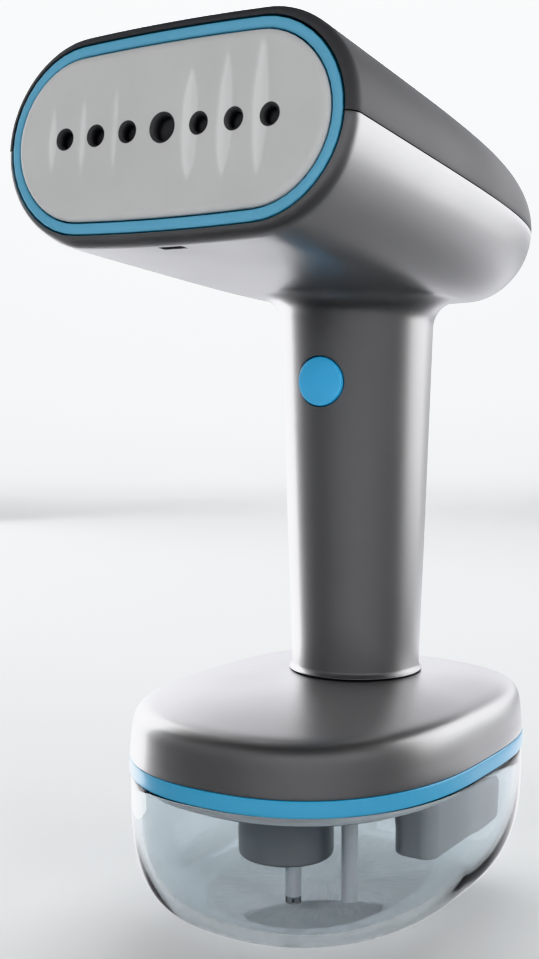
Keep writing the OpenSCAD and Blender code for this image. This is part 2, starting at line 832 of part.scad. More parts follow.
module collar_screws() {
    color(steel) for (s = [-1, 1])
        translate([s * (collar_r + 0.1), handle_y, collar_low + collar_h / 2]) rotate([0, s * 90, 0])
            screw(collar_screw_r, 6, 2, 1.2);
}

module water_hose() {
    color(white) sweep(hose_path, hose_r);
}

module wire_harness() {
    color(dark) sweep(wire_path, wire_r);
}

// ---------- Button and switch ----------

module at_button() {
    translate([0, 0, button_z]) children();
}

module steam_button() {
    dome = 0.9;
    color(blue) at_button() translate([0, button_front, 0]) facing_back() rotate_extrude() polygon([
        [0, -dome], [button_r * 0.35, -dome * 0.9], [button_r * 0.7, -dome * 0.55], [button_r - 0.4, 0],
        [button_r, 0.5], [button_r, 4.9], [flange_r, 4.9], [flange_r, 4.9 + flange_t],
        [stem_r, 4.9 + flange_t], [stem_r, stem_back - button_front], [0, stem_back - button_front],
    ]);
}

module button_guide() {
    color(dark) at_button() difference() {
        union() {
            along_y(flange_r + guide_wall, guide_front + 0.8, guide_back + guide_t);
            for (s = [-1, 1])
                translate([-ear_w / 2, guide_back, s > 0 ? 6 : -ear_z - ear_w / 2])
                    cube([ear_w, guide_t, ear_z + ear_w / 2 - 6]);
        }
        along_y(flange_r + 0.3, guide_front - 1, guide_back);
        along_y(stem_r + 0.1, guide_front, guide_back + through);
        for (s = [-1, 1])
            translate([0, 0, s * ear_z]) along_y(guide_screw_r + 0.2, guide_back - 1, guide_back + through);
    }
}

module guide_screws() {
    color(steel) at_button() for (s = [-1, 1])
        translate([0, guide_back + guide_t + shut, s * ear_z]) facing_back()
            screw(guide_screw_r, 5, 2.1, 1.2);
}

module button_spring() {
    color(steel) at_button() translate([0, flange_y + flange_t + 0.1, 0]) facing_back()
        coil_spring(5, 0.4, 4, guide_back - flange_y - flange_t - 0.2);
}

module micro_switch() {
    color(dark) at_button() difference() {
        translate([-switch_size[0] / 2, switch_y, -switch_size[2] / 2]) cube(switch_size);
        along_y(plunger_r + 0.1, switch_y - 1, switch_y + 5);
        for (s = [-1, 1])
            translate([0, switch_y + 7, s * 7]) rotate([0, 90, 0])
                cylinder(r = 1.1, h = through, center = true);
    }
}

module switch_plunger() {
    color(white) at_button() along_y(plunger_r, stem_back + 0.05, switch_y + 3);
}

// ---------- Steam plate and boiler, in the head's frame ----------

module plate_ring() {
    edge = 0.6;
    in_a = plate_a - trim_w;
    in_e = plate_e - trim_w;
    color(blue) in_head() loop_loft([
        oval(in_a, in_e, ring_back), oval(in_a, in_e, ring_front + edge / 2),
        oval(in_a + edge / 2, in_e + edge / 2, ring_front),
        oval(plate_a - edge, plate_e - edge, ring_front), oval(plate_a, plate_e, ring_front + edge),
        oval(plate_a, plate_e, ring_back),
    ]);
}

module plate_frame() {
    in_a = block_a + frame_gap;
    in_e = block_e + frame_gap;
    front = ring_back + shut;
    color(dark) in_head() loop_loft([
        oval(in_a, in_e, frame_back), oval(in_a, in_e, front),
        oval(plate_a + 0.6, plate_e + 0.4, front), oval(plate_a + 0.5, plate_e + 0.3, frame_step),
        oval(block_a + frame_lip, block_e + frame_lip, frame_step),
        oval(block_a + frame_lip, block_e + frame_lip, frame_back),
    ]);
}

module steam_plate() {
    a = plate_a - trim_w - plate_gap;
    e = plate_e - trim_w - plate_gap;
    color(plate_grey) in_head() difference() {
        loft([
            oval(a - 1.6, e - 1.6, plate_front), oval(a - 0.5, e - 0.5, plate_front + 0.35),
            oval(a, e, plate_front + 1.1), oval(a, e, plate_back),
        ]);
        for (x = hole_x)
            translate([x, 0, hole_z]) steam_hole(hole_d / 2);
        translate([0, 0, hole_z]) steam_hole(hole_mid_d / 2);
    }
}

// Steam hole of radius r with a countersink at the plate's face
module steam_hole(r) {
    along_y(r, plate_front - 1, plate_back + 1);
    translate([0, plate_front - eps, 0]) facing_back()
        cylinder(r1 = r + countersink, r2 = r, h = countersink);
}

// Exact solid with half-round ends, from y0 to y1
module stadium(a, e, y0, y1) {
    for (s = [-1, 1])
        translate([s * (a - e), 0, 0]) along_y(e, y0, y1);
    translate([-(a - e), y0, -e]) cube([2 * (a - e), y1 - y0, 2 * e]);
}

module boiler_block() {
    color(metal) in_head() difference() {
        stadium(block_a, block_e, block_front, block_back);
        stadium(chamber_a, chamber_e, chamber_front, block_back + 1);
        for (x = concat(hole_x, [0]))
            translate([x, 0, hole_z]) along_y(feed_r, 0, chamber_front + 1);
        element_channel(element_r + 0.1);
        for (s = [-1, 1])
            translate([s * cover_screw_x, 0, 0]) along_y(cover_screw_r + 0.1, 14, block_back + 1);
    }
}

// Straight heating rods above and below the chamber, with their cold ends at the left
module element_channel(r) {
    for (s = [-1, 1])
        translate([0, element_y, s * element_z]) rotate([0, 90, 0])
            cylinder(r = r, h = 2 * element_x, center = true);
}

module heating_element() {
    color(steel) in_head() element_channel(element_r);
}

module boiler_gasket() {
    color(rubber) in_head() difference() {
        stadium(chamber_a + gasket_w, chamber_e + gasket_w, block_back + 0.02, block_back + gasket_t);
        stadium(chamber_a, chamber_e, block_back - 1, block_back + gasket_t + 1);
    }
}

module boiler_cover() {
    color(metal) in_head() difference() {
        union() {
            stadium(block_a, cover_e, block_back + gasket_t + 0.02, cover_back);
            translate([hose_x, 0, 0]) along_y(spout_r, cover_back - 1, spout_back);
        }
        translate([hose_x, 0, 0]) along_y(spout_bore_r, block_back, spout_back + 1);
        for (s = [-1, 1])
            translate([s * cover_screw_x, 0, 0]) along_y(cover_screw_r + 0.4, block_back, cover_back + 1);
    }
}

module boiler_screws() {
    color(steel) in_head() for (s = [-1, 1])
        translate([s * cover_screw_x, cover_back + shut, 0]) facing_back()
            screw(cover_screw_r, 12, 3, 1.8);
}

module thermostat() {
    color(white) in_head() translate([thermostat_x, 0, 0]) {
        along_y(thermostat_r, cover_back + 0.05, cover_back + 2);
        along_y(thermostat_r - 1.6, cover_back + 2 - eps, thermostat_back);
    }
}

module thermal_fuse() {
    color(metal) in_head() translate([fuse_x, cover_back + fuse_r + 0.2, 0]) rotate([0, 90, 0])
        cylinder(r = fuse_r, h = fuse_l, center = true);
}

module heat_shield() {
    a = head_a - wall - shield_gap;
    e = head_e * (1 - flattening * (shield_y - rim_round) / head_l) - wall - shield_gap;
    color(dark) in_head() difference() {
        loft([
            oval(a, e, shield_y, -droop * shield_y),
            oval(a, e, shield_y + shield_t, -droop * shield_y),
        ]);
        translate([window_low[0], shield_y - 5, window_low[1]]) cube(window);
        for (s = [-1, 1])
            translate([s * boss_x, 0, boss_z]) along_y(boss_screw_r + 0.4, 0, shield_y + through);
    }
}

module shield_screws() {
    color(steel) in_head() for (s = [-1, 1])
        translate([s * boss_x, shield_y - shut, boss_z]) rotate([90, 0, 0])
            screw(boss_screw_r, 8, 2.2, 1.4);
}

water_tank();
tank_seal();
base_ring();
base_cap();
base_floor();
base_screws();
vent_valve();
pump_pod();
board_pod_shell();
pickup_tube();
inlet_filter();
return_tube();
pump_body();
pump_sleeve();
pump_coil();
pump_yoke();
pump_mount();
pump_piston();
pump_spring();
control_board();
board_parts();
terminal_block();
cord_gland();
main_housing();
top_cover();
collar_ring();
collar_screws();
water_hose();
wire_harness();
steam_button();
button_guide();
guide_screws();
button_spring();
micro_switch();
switch_plunger();
plate_ring();
plate_frame();
steam_plate();
boiler_block();
heating_element();
boiler_gasket();
boiler_cover();
boiler_screws();
thermostat();
thermal_fuse();
heat_shield();
shield_screws();
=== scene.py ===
"""Hand-held garment steamer: the looks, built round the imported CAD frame."""

import json
import math

import bmesh
import bpy
import numpy as np
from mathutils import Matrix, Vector
from mathutils.geometry import delaunay_2d_cdt


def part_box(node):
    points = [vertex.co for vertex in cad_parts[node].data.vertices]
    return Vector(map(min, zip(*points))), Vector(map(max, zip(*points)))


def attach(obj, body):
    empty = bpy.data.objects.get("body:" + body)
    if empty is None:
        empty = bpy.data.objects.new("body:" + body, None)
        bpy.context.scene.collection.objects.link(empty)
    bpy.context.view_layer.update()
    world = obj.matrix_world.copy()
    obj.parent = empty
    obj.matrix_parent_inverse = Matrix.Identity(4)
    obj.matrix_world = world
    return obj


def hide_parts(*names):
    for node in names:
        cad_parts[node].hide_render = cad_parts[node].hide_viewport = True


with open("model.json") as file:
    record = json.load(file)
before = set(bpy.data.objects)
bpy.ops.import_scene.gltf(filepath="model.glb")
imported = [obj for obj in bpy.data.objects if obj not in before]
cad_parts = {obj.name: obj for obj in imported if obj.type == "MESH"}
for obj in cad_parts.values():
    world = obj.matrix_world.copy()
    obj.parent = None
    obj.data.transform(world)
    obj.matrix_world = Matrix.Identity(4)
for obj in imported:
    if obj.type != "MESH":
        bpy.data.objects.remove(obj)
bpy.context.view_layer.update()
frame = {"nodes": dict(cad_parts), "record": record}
NODES = frame["nodes"]
SLOT_OF = {p["node"]: p["material_slot"] for p in frame["record"]["subparts"]}
SCENE = bpy.context.scene

# ---------------------------------------------------------------- camera

HEADING = math.radians(32.67)       # of the view, turned from +Y towards -X
LOOK_DOWN = 4.24                    # degrees below the horizon
LENS, SENSOR = 50.41, 36            # millimetres
CAMERA_AT = Vector((0.2029, -0.3471, 0.1542))
TO_CAMERA = Vector((math.sin(HEADING), -math.cos(HEADING), 0))
TO_RIGHT = Vector((math.cos(HEADING), math.sin(HEADING), 0))

camera = bpy.data.objects.new("camera", bpy.data.cameras.new("camera"))
camera.data.lens = LENS
camera.data.sensor_width = SENSOR
camera.location = CAMERA_AT
camera.rotation_euler = (math.radians(90 - LOOK_DOWN), 0, HEADING)
SCENE.collection.objects.link(camera)
SCENE.camera = camera

# ---------------------------------------------------------------- sizes, in millimetres


def box_mm(node):
    lo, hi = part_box(node)
    return np.array(lo) * 1000, np.array(hi) * 1000


RING_LO, RING_HI = box_mm("base_ring")
HALF_W = RING_HI[0]                 # of the base outline
HALF_L = RING_HI[1]
RING_LOW, RING_TOP = RING_LO[2], RING_HI[2]
FRONT_POWER, REAR_POWER, FOOT_POWER = 2.33, 3.5, 2.6    # of the superellipses of the base
TANK_WALL, TANK_INSET, FOOT_INSET, FOOT_H = 2.4, 0.4, 21.0, 36.0
BOWL_POWER = 2.8                    # of the tank's rounded foot, seen from the side
TANK_TOP = box_mm("water_tank")[1][2]

HANDLE_Y = 19.5
LAND_Z = RING_TOP + 18.4            # flat land round the handle's foot
LAND_R = 23.0
CORNER_INSET, CORNER_Z = 1.5, 59.9  # the cap's shoulder, before it is rounded
CAP_INSET = 0.2                     # of the cap's wall at its foot
LEAN_H, LEAN_POWER = 13.0, 1.5      # height over which that wall leans in, and how late it does
HANDLE_LOW = LAND_Z + 0.3
FOOT_R, TAPER = 19.8, 0.03525
BEAD_H, FLARE_H = 0.6, 1.5          # of the bead at the handle's foot and of the flare above it
FILLET = 8.0
WALL = 2.2

TILT = math.radians(6)
HEAD_AT = np.array([0, -78.4, 215.5])            # middle of the head's front
HEAD_A, HEAD_E, HEAD_L = 53.4, 25.93, 144.9     # half width, end radius and length
REAR_FROM, HEAD_POWER = 14.2, 4.8
NARROW, FLATTEN, DROOP, BOW = 0.02, 0.135, 0.024, 0.08
RIM = 3.7
RIM_INSET = 2.55
RIM_LIP = ((2.2, 9.0), (2.2, 2.2), (2.7, 1.9), (2.7, 0.2))      # (inset, y), from inside to the rim
RIM_STEPS = 8
SLOT_Y = 4.5                        # front edge of the drain slot
SPLIT = -0.589                      # of the shells' joint below the middle of the section
GAP = 0.09                          # half the gap between the two shells
BEND_POINTS = 27                    # on each rounded end of a half section
FLAT_HALF = [0.134, 0.21, 0.3, 0.4, 0.5, 0.6, 0.7, 0.8, 0.9, 1]
FLAT_X = np.array([-x for x in FLAT_HALF[::-1]] + [0] + FLAT_HALF)      # shares of the flat part's half width

PLATE_A, PLATE_E, TRIM = 50.2, 22.95, 2.6
HOLES = [(-31.3, 2.1), (-21.1, 2.1), (-10.9, 2.1), (0, 3.1), (10.9, 2.1), (21.1, 2.1), (31.3, 2.1)]
HOLE_Z, SINK = 0.35, 0.8
PLATE_Y = -1.2
# Channels beside the small holes: middle, half width and half height, and height of the middle
FLUTES = [(-35.4, 1.7, 9.5, 0), (-25.4, 1.8, 11, 0), (-14.9, 1.8, 12, 0.5),
          (8.3, 3.1, 14.5, 0), (18.6, 2.9, 16, 1.5), (28.6, 3.1, 17.5, 2.5)]

BUTTON_Z, BUTTON_R = 153.8, 7.3
BUTTON_HOLE = 7.62
POD_TOP = RING_LOW + 2.4
POD_LOW = RING_TOP - 29.5
ROUND_POINTS = 96                   # on a turned piece


def handle_r(z):
    return FOOT_R + TAPER * (z - HANDLE_LOW)


BUTTON_Y = HANDLE_Y - handle_r(BUTTON_Z)

# ---------------------------------------------------------------- curves


def signed_pow(v, p):
    return np.sign(v) * np.abs(v) ** p


def outline_xy(t, inset, rear=REAR_POWER):
    power = np.where(np.sin(t) < -1e-9, FRONT_POWER, rear)
    return np.stack([(HALF_W - inset) * signed_pow(np.cos(t), 2 / power),
                     (HALF_L - inset) * signed_pow(np.sin(t), 2 / power)], -1)


def even_angles(n):
    """Angles whose points lie evenly along the base outline."""
    t = np.linspace(0, 2 * math.pi, 6001)
    p = outline_xy(t, 0)
    s = np.concatenate([[0], np.cumsum(np.hypot(*np.diff(p, axis=0).T))])
    return np.interp(np.linspace(0, s[-1], n, endpoint=False), s, t)


ANGLES = even_angles(224)


def outline(inset, z, rear=REAR_POWER):
    p = outline_xy(ANGLES, inset, rear)
    return np.column_stack([p, np.full(len(p), float(z))])


def circle(r, z, y):
    """Ring with as many points as the base outline."""
    return np.column_stack([r * np.cos(ANGLES), y + r * np.sin(ANGLES), np.full(len(ANGLES), float(z))])


def to_world(p):
    """Points of the head's own frame in the frame of the whole object."""
    p = np.asarray(p, float)
    c, s = math.cos(TILT), math.sin(TILT)
    x, y, z = p[..., 0], p[..., 1], p[..., 2]
    return np.stack([x, y * c + z * s, z * c - y * s], -1) + HEAD_AT


def oval(a, e, y, ends=20, side=24):
    """Closed section of the head, anticlockwise seen from the front."""
    up = np.linspace(-math.pi / 2, math.pi / 2, ends + 1)
    flat = np.linspace(-1, 1, side + 1)[1:-1]
    end = (a - e) + e * np.cos(up)
    x = np.concatenate([end, -flat * (a - e), -end, flat * (a - e)])
    v = np.concatenate([e * np.sin(up), np.full(side - 1, e), e * np.sin(-up), np.full(side - 1, -e)])
    return np.column_stack([x, np.full(len(x), float(y)), v * (1 + BOW * (1 - (x / a) ** 2))])


def arc(centre, r, start, end, n):
    """Points of an arc of a circle, or of an ellipse if r is a pair. Angles are in degrees."""
    t = np.radians(np.linspace(start, end, n))
    r = (r, r) if np.isscalar(r) else r
    return [(centre[0] + r[0] * math.cos(a), centre[1] + r[1] * math.sin(a)) for a in t]


# ---------------------------------------------------------------- mesh building


class Shape:
    """Collects vertices in millimetres and faces, then makes one piece of them."""

    def __init__(self):
        self.points, self.faces, self.slots, self.count = [], [], [], 0

    def add(self, p):
        p = np.asarray(p, float)
        flat = p.reshape(-1, 3)
        index = np.arange(self.count, self.count + len(flat)).reshape(p.shape[:-1])
        self.points.append(flat)
        self.count += len(flat)
        return index

    def at(self, index):
        return np.concatenate(self.points)[index]

    def face(self, corners, slot=0):
        self.faces.append(tuple(int(i) for i in corners))
        self.slots.append(slot)

    def rows(self, index, around=True, closed=False, slot=0, skip=None):
        """Quads between rows of vertices that are in the shape already."""
        index = np.asarray(index)
        m, n = index.shape
        for r in range(m if closed else m - 1):
            for c in range(n if around else n - 1):
                if skip and skip(r, c):
                    continue
                r2, c2 = (r + 1) % m, (c + 1) % n
                self.face((index[r, c], index[r, c2], index[r2, c2], index[r2, c]), slot)

    def loft(self, rings, closed=False, slot=0, first=False, last=False):
        """Surface over closed rings, with a flat face on the first or last ring if asked."""
        index = self.add(np.array(rings))
        self.rows(index, closed=closed, slot=slot)
        if first:
            self.face(index[0][::-1], slot)
        if last:
            self.face(index[-1], slot)
        return index

    def make(self, name, body, replaces, materials=None, sharp=38):
        mesh = bpy.data.meshes.new(name)
        mesh.from_pydata((np.concatenate(self.points) * 0.001).tolist(), [], self.faces)
        mesh.polygons.foreach_set("material_index", self.slots)
        piece = bpy.data.objects.new(name, mesh)
        SCENE.collection.objects.link(piece)
        bm = bmesh.new()
        bm.from_mesh(mesh)
        bmesh.ops.recalc_face_normals(bm, faces=bm.faces)
        bm.to_mesh(mesh)
        bm.free()
        mesh.shade_smooth()
        mesh.set_sharp_from_angle(angle=math.radians(sharp))
        slot = SLOT_OF[replaces[0]]
        for m in materials or [MATERIALS[slot]]:
            mesh.materials.append(m)
        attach(piece, body)
        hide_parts(*replaces)
        return piece


def revolve(profile, at, axis="z"):
    """Rings of a profile of (radius, distance along the axis) turned round an axis through a point."""
    t = np.linspace(0, 2 * math.pi, ROUND_POINTS, endpoint=False)
    rings = []
    for r, d in profile:
        ring = np.column_stack([r * np.cos(t), r * np.sin(t), np.full(ROUND_POINTS, float(d))])
        if axis == "y":
            ring = ring[:, [0, 2, 1]]
        rings.append(ring + np.asarray(at, float))
    return rings


# ---------------------------------------------------------------- materials

MATERIALS = {}                      # by name; a slot's material has the slot's name
NOISE_LOW, NOISE_HIGH = 0.3, 0.7    # what noise values mostly lie between


class Paint:
    """A Principled material with helpers for its procedural detail. Values set its shader's sockets."""

    def __init__(self, name, **values):
        self.material = bpy.data.materials.new(name)
        self.material.use_nodes = True
        self.tree = self.material.node_tree
        self.shader = self.tree.nodes["Principled BSDF"]
        for key, value in values.items():
            self.shader.inputs[key.replace("_", " ")].default_value = value
        MATERIALS[name] = self.material

    def node(self, kind, **values):
        n = self.tree.nodes.new(kind)
        for key, value in values.items():
            if hasattr(n, key):
                setattr(n, key, value)
            else:
                n.inputs[key.replace("_", " ")].default_value = value
        return n

    def link(self, a, b):
        self.tree.links.new(a, b)

    def noise(self, scale, detail=2.0, stretch=None):
        coords = self.node("ShaderNodeTexCoord")
        n = self.node("ShaderNodeTexNoise", Scale=scale, Detail=detail)
        source = coords.outputs["Object"]
        if stretch:
            m = self.node("ShaderNodeMapping", Scale=stretch)
            self.link(source, m.inputs["Vector"])
            source = m.outputs["Vector"]
        self.link(source, n.inputs["Vector"])
        return n.outputs["Fac"]

    def colour(self, value, low, high):
        """Base colour that runs from low to high with value."""
        ramp = self.node("ShaderNodeValToRGB")
        for element, at, tint in zip(ramp.color_ramp.elements, (NOISE_LOW, NOISE_HIGH), (low, high)):
            element.position = at
            element.color = (*tint, 1)
        self.link(value, ramp.inputs["Fac"])
        self.link(ramp.outputs["Color"], self.shader.inputs["Base Color"])
        return ramp

    def roughness(self, value, low, high):
        m = self.node("ShaderNodeMapRange")
        m.inputs["From Min"].default_value, m.inputs["From Max"].default_value = NOISE_LOW, NOISE_HIGH
        m.inputs["To Min"].default_value, m.inputs["To Max"].default_value = low, high
        self.link(value, m.inputs["Value"])
        self.link(m.outputs["Result"], self.shader.inputs["Roughness"])

    def bump(self, value, depth, strength=1.0):
        """Relief of about depth metres."""
        b = self.node("ShaderNodeBump", Strength=strength, Distance=depth)
        self.link(value, b.inputs["Height"])
        self.link(b.outputs["Normal"], self.shader.inputs["Normal"])


def shade(c, k):
    return tuple(min(1.0, v * k) for v in c)


def moulded(name, colour, rough, grain=0.00002, tone=0.04, **values):
    """Moulded plastic: fine grain, faint flow marks and a slightly uneven gloss."""
    p = Paint(name, **values)
    flow_scale, gloss_scale, grain_scale = 38, 24, 2600
    glossiest, dullest = 0.95, 1.06
    grain_strength = 0.35
    p.colour(p.noise(flow_scale, 3.0), shade(colour, 1 - tone), shade(colour, 1 + tone))
    p.roughness(p.noise(gloss_scale, 1.0), rough * glossiest, rough * dullest)
    if grain:
        p.bump(p.noise(grain_scale), grain, grain_strength)


def make_plastics():
    # Painted shade: the steam holes' countersinks and bores are dark to stand for the shade inside them
    moulded("steam_hole_painted_shade", (0.085, 0.085, 0.086), 0.7, grain=0.00003, tone=0.2)
    moulded("shell_plastic", (0.50, 0.50, 0.505), 0.37, grain=0, tone=0.015, Metallic=0.85)
    moulded("cover_plastic", (0.085, 0.085, 0.088), 0.48, tone=0.03)
    moulded("trim_blue", (0.085, 0.38, 0.62), 0.36, tone=0.03, Coat_Weight=0.6, Coat_Roughness=0.2)
    moulded("head_ring_blue", (0.15, 0.40, 0.57), 0.4, tone=0.03)
    moulded("button_blue", (0.10, 0.48, 0.84), 0.4, grain=0.00003, tone=0.03)
    moulded("pod_plastic", (0.15, 0.15, 0.155), 0.45, grain=0.00004)
    moulded("case_plastic", (0.27, 0.27, 0.28), 0.42, grain=0.00004)
    moulded("dark_plastic", (0.018, 0.018, 0.02), 0.42, grain=0.00004, tone=0.1)
    moulded("natural_plastic", (0.46, 0.475, 0.49), 0.32,
            Subsurface_Weight=0.2, Subsurface_Scale=0.002, Transmission_Weight=0.25)
    moulded("hose_silicone", (0.42, 0.43, 0.44), 0.38, Subsurface_Weight=0.3, Subsurface_Scale=0.002)


def make_rubber():
    rubber = Paint("seal_rubber")
    rubber.colour(rubber.noise(220, 4.0), (0.018, 0.018, 0.018), (0.034, 0.034, 0.036))
    rubber.roughness(rubber.noise(500), 0.58, 0.78)
    rubber.bump(rubber.noise(1800, 4.0), 0.00006, 0.6)


def make_coating():
    """Coating of the steam plate, with a painted highlight: paler where the mesh attribute channel is 1."""
    highlight_lift = 0.6                    # painted highlight: what a channel adds to the noise that picks the colour
    coating = Paint("plate_coating")
    channel = coating.node("ShaderNodeAttribute", attribute_name="channel")
    tone_and_highlight = coating.node("ShaderNodeMath", operation="MULTIPLY_ADD")
    coating.link(channel.outputs["Fac"], tone_and_highlight.inputs[0])
    tone_and_highlight.inputs[1].default_value = highlight_lift
    coating.link(coating.noise(60, 4.0), tone_and_highlight.inputs[2])
    tone_and_highlight_ramp = coating.colour(tone_and_highlight.outputs["Value"], (0.53, 0.53, 0.53), (0.56, 0.56, 0.56))
    # The palest stop is the painted highlight in the channels
    tone_and_highlight_ramp.color_ramp.elements.new(1.0).color = (0.66, 0.66, 0.66, 1)
    coating.roughness(coating.noise(320, 3.0), 0.34, 0.46)
    coating.bump(coating.noise(3200, 3.0), 0.00002, 0.4)


def make_cast():
    cast = Paint("cast_aluminium", Metallic=1.0)
    cast.colour(cast.noise(90, 6.0), (0.46, 0.47, 0.49), (0.62, 0.63, 0.65))
    cast.roughness(cast.noise(700, 5.0), 0.38, 0.6)
    cast.bump(cast.noise(1100, 6.0), 0.00012, 0.7)


def make_steel():
    steel = Paint("screw_steel", Metallic=1.0)
    steel.colour(steel.noise(150, 5.0), (0.42, 0.43, 0.46), (0.58, 0.59, 0.61))
    steel.roughness(steel.noise(900, 3.0, (1, 1, 14)), 0.22, 0.42)
    steel.bump(steel.noise(1500, 3.0, (1, 1, 10)), 0.00003, 0.5)


def make_copper():
    copper = Paint("coil_copper", Metallic=1.0)
    copper.colour(copper.noise(120, 3.0), (0.50, 0.20, 0.08), (0.70, 0.33, 0.15))
    copper.roughness(copper.noise(400), 0.25, 0.4)
    winding = copper.node("ShaderNodeTexWave", bands_direction="Z", Scale=600.0, Distortion=0.4)
    copper.link(copper.node("ShaderNodeTexCoord").outputs["Object"], winding.inputs["Vector"])
    copper.bump(winding.outputs["Fac"], 0.0003, 0.8)


def make_board():
    """Green board with paler tracks. The board stands upright, so the pattern is turned."""
    board = Paint("board_green")
    tracks = board.node("ShaderNodeTexBrick", Scale=420.0, Mortar_Size=0.06,
                        Color1=(0.01, 0.10, 0.045, 1), Color2=(0.014, 0.13, 0.06, 1),
                        Mortar=(0.03, 0.22, 0.09, 1))
    turned = board.node("ShaderNodeMapping", Rotation=(0, math.pi / 2, 0))
    board.link(board.node("ShaderNodeTexCoord").outputs["Object"], turned.inputs["Vector"])
    board.link(turned.outputs["Vector"], tracks.inputs["Vector"])
    board.link(tracks.outputs["Color"], board.shader.inputs["Base Color"])
    board.roughness(board.noise(300), 0.25, 0.36)
    board.bump(tracks.outputs["Fac"], 0.00005, 0.5)


def make_clear():
    clear = Paint("clear_plastic", IOR=1.3, Transmission_Weight=1.0)
    clear.colour(clear.noise(30), (0.66, 0.70, 0.725), (0.69, 0.725, 0.745))
    clear.roughness(clear.noise(90), 0.004, 0.02)
    clear.bump(clear.noise(45, 1.0), 0.00006, 0.25)


def paint_nodes():
    """Gives every CAD node the material of its slot."""
    for node, thing in NODES.items():
        paint = MATERIALS[SLOT_OF[node]]
        for held in thing.material_slots:
            held.material = paint
        if not thing.material_slots:
            thing.data.materials.append(paint)


make_plastics()
make_rubber()
make_coating()
make_cast()
make_steel()
make_copper()
make_board()
make_clear()
paint_nodes()

# ---------------------------------------------------------------- tank, trim ring and cap


def tank_rings(wall):
    """Rings of the tank's rounded foot from its floor up, set in by wall."""
    rings = []
    for a in np.linspace(0, math.pi / 2, 26):
        inset = TANK_INSET + wall + (FOOT_INSET - TANK_INSET) * (1 - math.sin(a) ** (2 / BOWL_POWER))
        z = wall + (FOOT_H - wall) * (1 - math.cos(a) ** (2 / BOWL_POWER))
        rings.append(outline(inset, z, FOOT_POWER + (REAR_POWER - FOOT_POWER) * math.sin(a)))
    return rings


def dome_fill(shape, ring, index, steps=6):
    """Closes a flat ring with rings that shrink towards its middle."""
    middle = ring.mean(0)
    rows = [index]
    for k in range(1, steps):
        rows.append(shape.add(ring + (middle - ring) * k / steps))
    shape.rows(rows)
    shape.face(rows[-1])


def make_tank():
    s = Shape()
    lip = 0.5
    # (inset, rise) over the rounded top of the wall
    lip_profile = [(0.08, 0.3), (0.3, 0.46), (0.55, lip), (1.85, lip), (2.1, 0.46), (2.32, 0.3)]
    outer = tank_rings(0) + [outline(TANK_INSET, z) for z in np.linspace(FOOT_H, TANK_TOP - lip, 4)[1:]]
    top = [outline(TANK_INSET + inset, TANK_TOP - lip + rise) for inset, rise in lip_profile]
    inner = tank_rings(TANK_WALL) + [outline(TANK_INSET + TANK_WALL, TANK_TOP - lip)]
    rings = outer + top + inner[::-1]
    index = s.loft(rings)
    dome_fill(s, rings[0], index[0])
    dome_fill(s, rings[-1], index[-1])
    tank = s.make("tank_clear", "tank", ["water_tank"], sharp=60)
    tank.visible_shadow = False     # a clear wall lets the light in


def make_base_ring():
    s = Shape()
    half = (RING_TOP - RING_LOW) / 2
    bulge, bulge_power, rise_power = 0.55, 0.35, 0.55
    depth = 2.4
    rings = []
    for a in np.radians(np.linspace(-90, 90, 15)):
        inset = bulge * (1 - abs(math.cos(a)) ** bulge_power)
        rings.append(outline(inset, RING_LOW + half + half * signed_pow(math.sin(a), rise_power)))
    rings += [outline(depth, RING_TOP), outline(depth, RING_LOW)]
    s.loft(rings, closed=True)
    s.make("trim_ring", "steamer", ["base_ring"])


def cap_profile(s, t):
    """Points of the cap's sharp profile, set in by t, at distances s past its shoulder (wall below 0)."""
    corner = np.column_stack([outline_xy(ANGLES, CORNER_INSET + t), np.full(len(ANGLES), CORNER_Z - t)])
    land = circle(LAND_R, LAND_Z - t, HANDLE_Y)
    length = np.hypot(*(land - corner)[:, :2].T)
    w = np.clip(s / length[:, None], 0, 1)[..., None]
    crown = corner[:, None] * (1 - w) + land[:, None] * w
    crown[..., 2] = CORNER_Z - t + (LAND_Z - CORNER_Z) * np.sin(w[..., 0] * math.pi / 2)
    down = np.clip(-s, 0, None)
    inset = CAP_INSET + t + (CORNER_INSET - CAP_INSET) * np.clip(1 - down / LEAN_H, 0, 1) ** LEAN_POWER
    wall = np.concatenate([outline_xy(ANGLES[:, None], inset), (CORNER_Z - t - down)[..., None]], -1)
    return np.where((s > 0)[..., None], crown, wall)


def cap_surface(t):
    """Rings of the cap from its rim to the land, its shoulder rounded by averaging along the profile."""
    wall_h, rim_gap = 13.6, 0.6
    near = 7.0                      # evenly spaced start of the crown, next to the shoulder
    reach, spread = 2.6, 3.2        # of the averaging: in standard deviations, and millimetres for each
    land_fade, rim_fade, least = 8, 4, 0.05     # where and how far the averaging fades out at the ends
    land = circle(LAND_R, LAND_Z - t, HANDLE_Y)
    corner = outline_xy(ANGLES, CORNER_INSET + t)
    length = np.hypot(*(land[:, :2] - corner).T)
    stations = [np.full(len(length), d) for d in -np.linspace(CORNER_Z - RING_TOP - rim_gap, 0, 22)]
    stations += [np.full(len(length), d) for d in np.linspace(0, near, 16)[1:]]
    stations += [near + share * (length - near) for share in np.linspace(0, 1, 21)[1:]]
    offsets = np.linspace(-reach, reach, 27)
    weights = np.exp(-offsets ** 2 / 2)
    weights /= weights.sum()
    rings = []
    for d in stations:
        width = spread * np.clip((length - d) / land_fade, 0, 1) * np.clip((d + wall_h) / rim_fade, least, 1)
        p = cap_profile(d[:, None] + offsets[None] * width[:, None], t)
        rings.append((p * weights[None, :, None]).sum(1))
    return rings


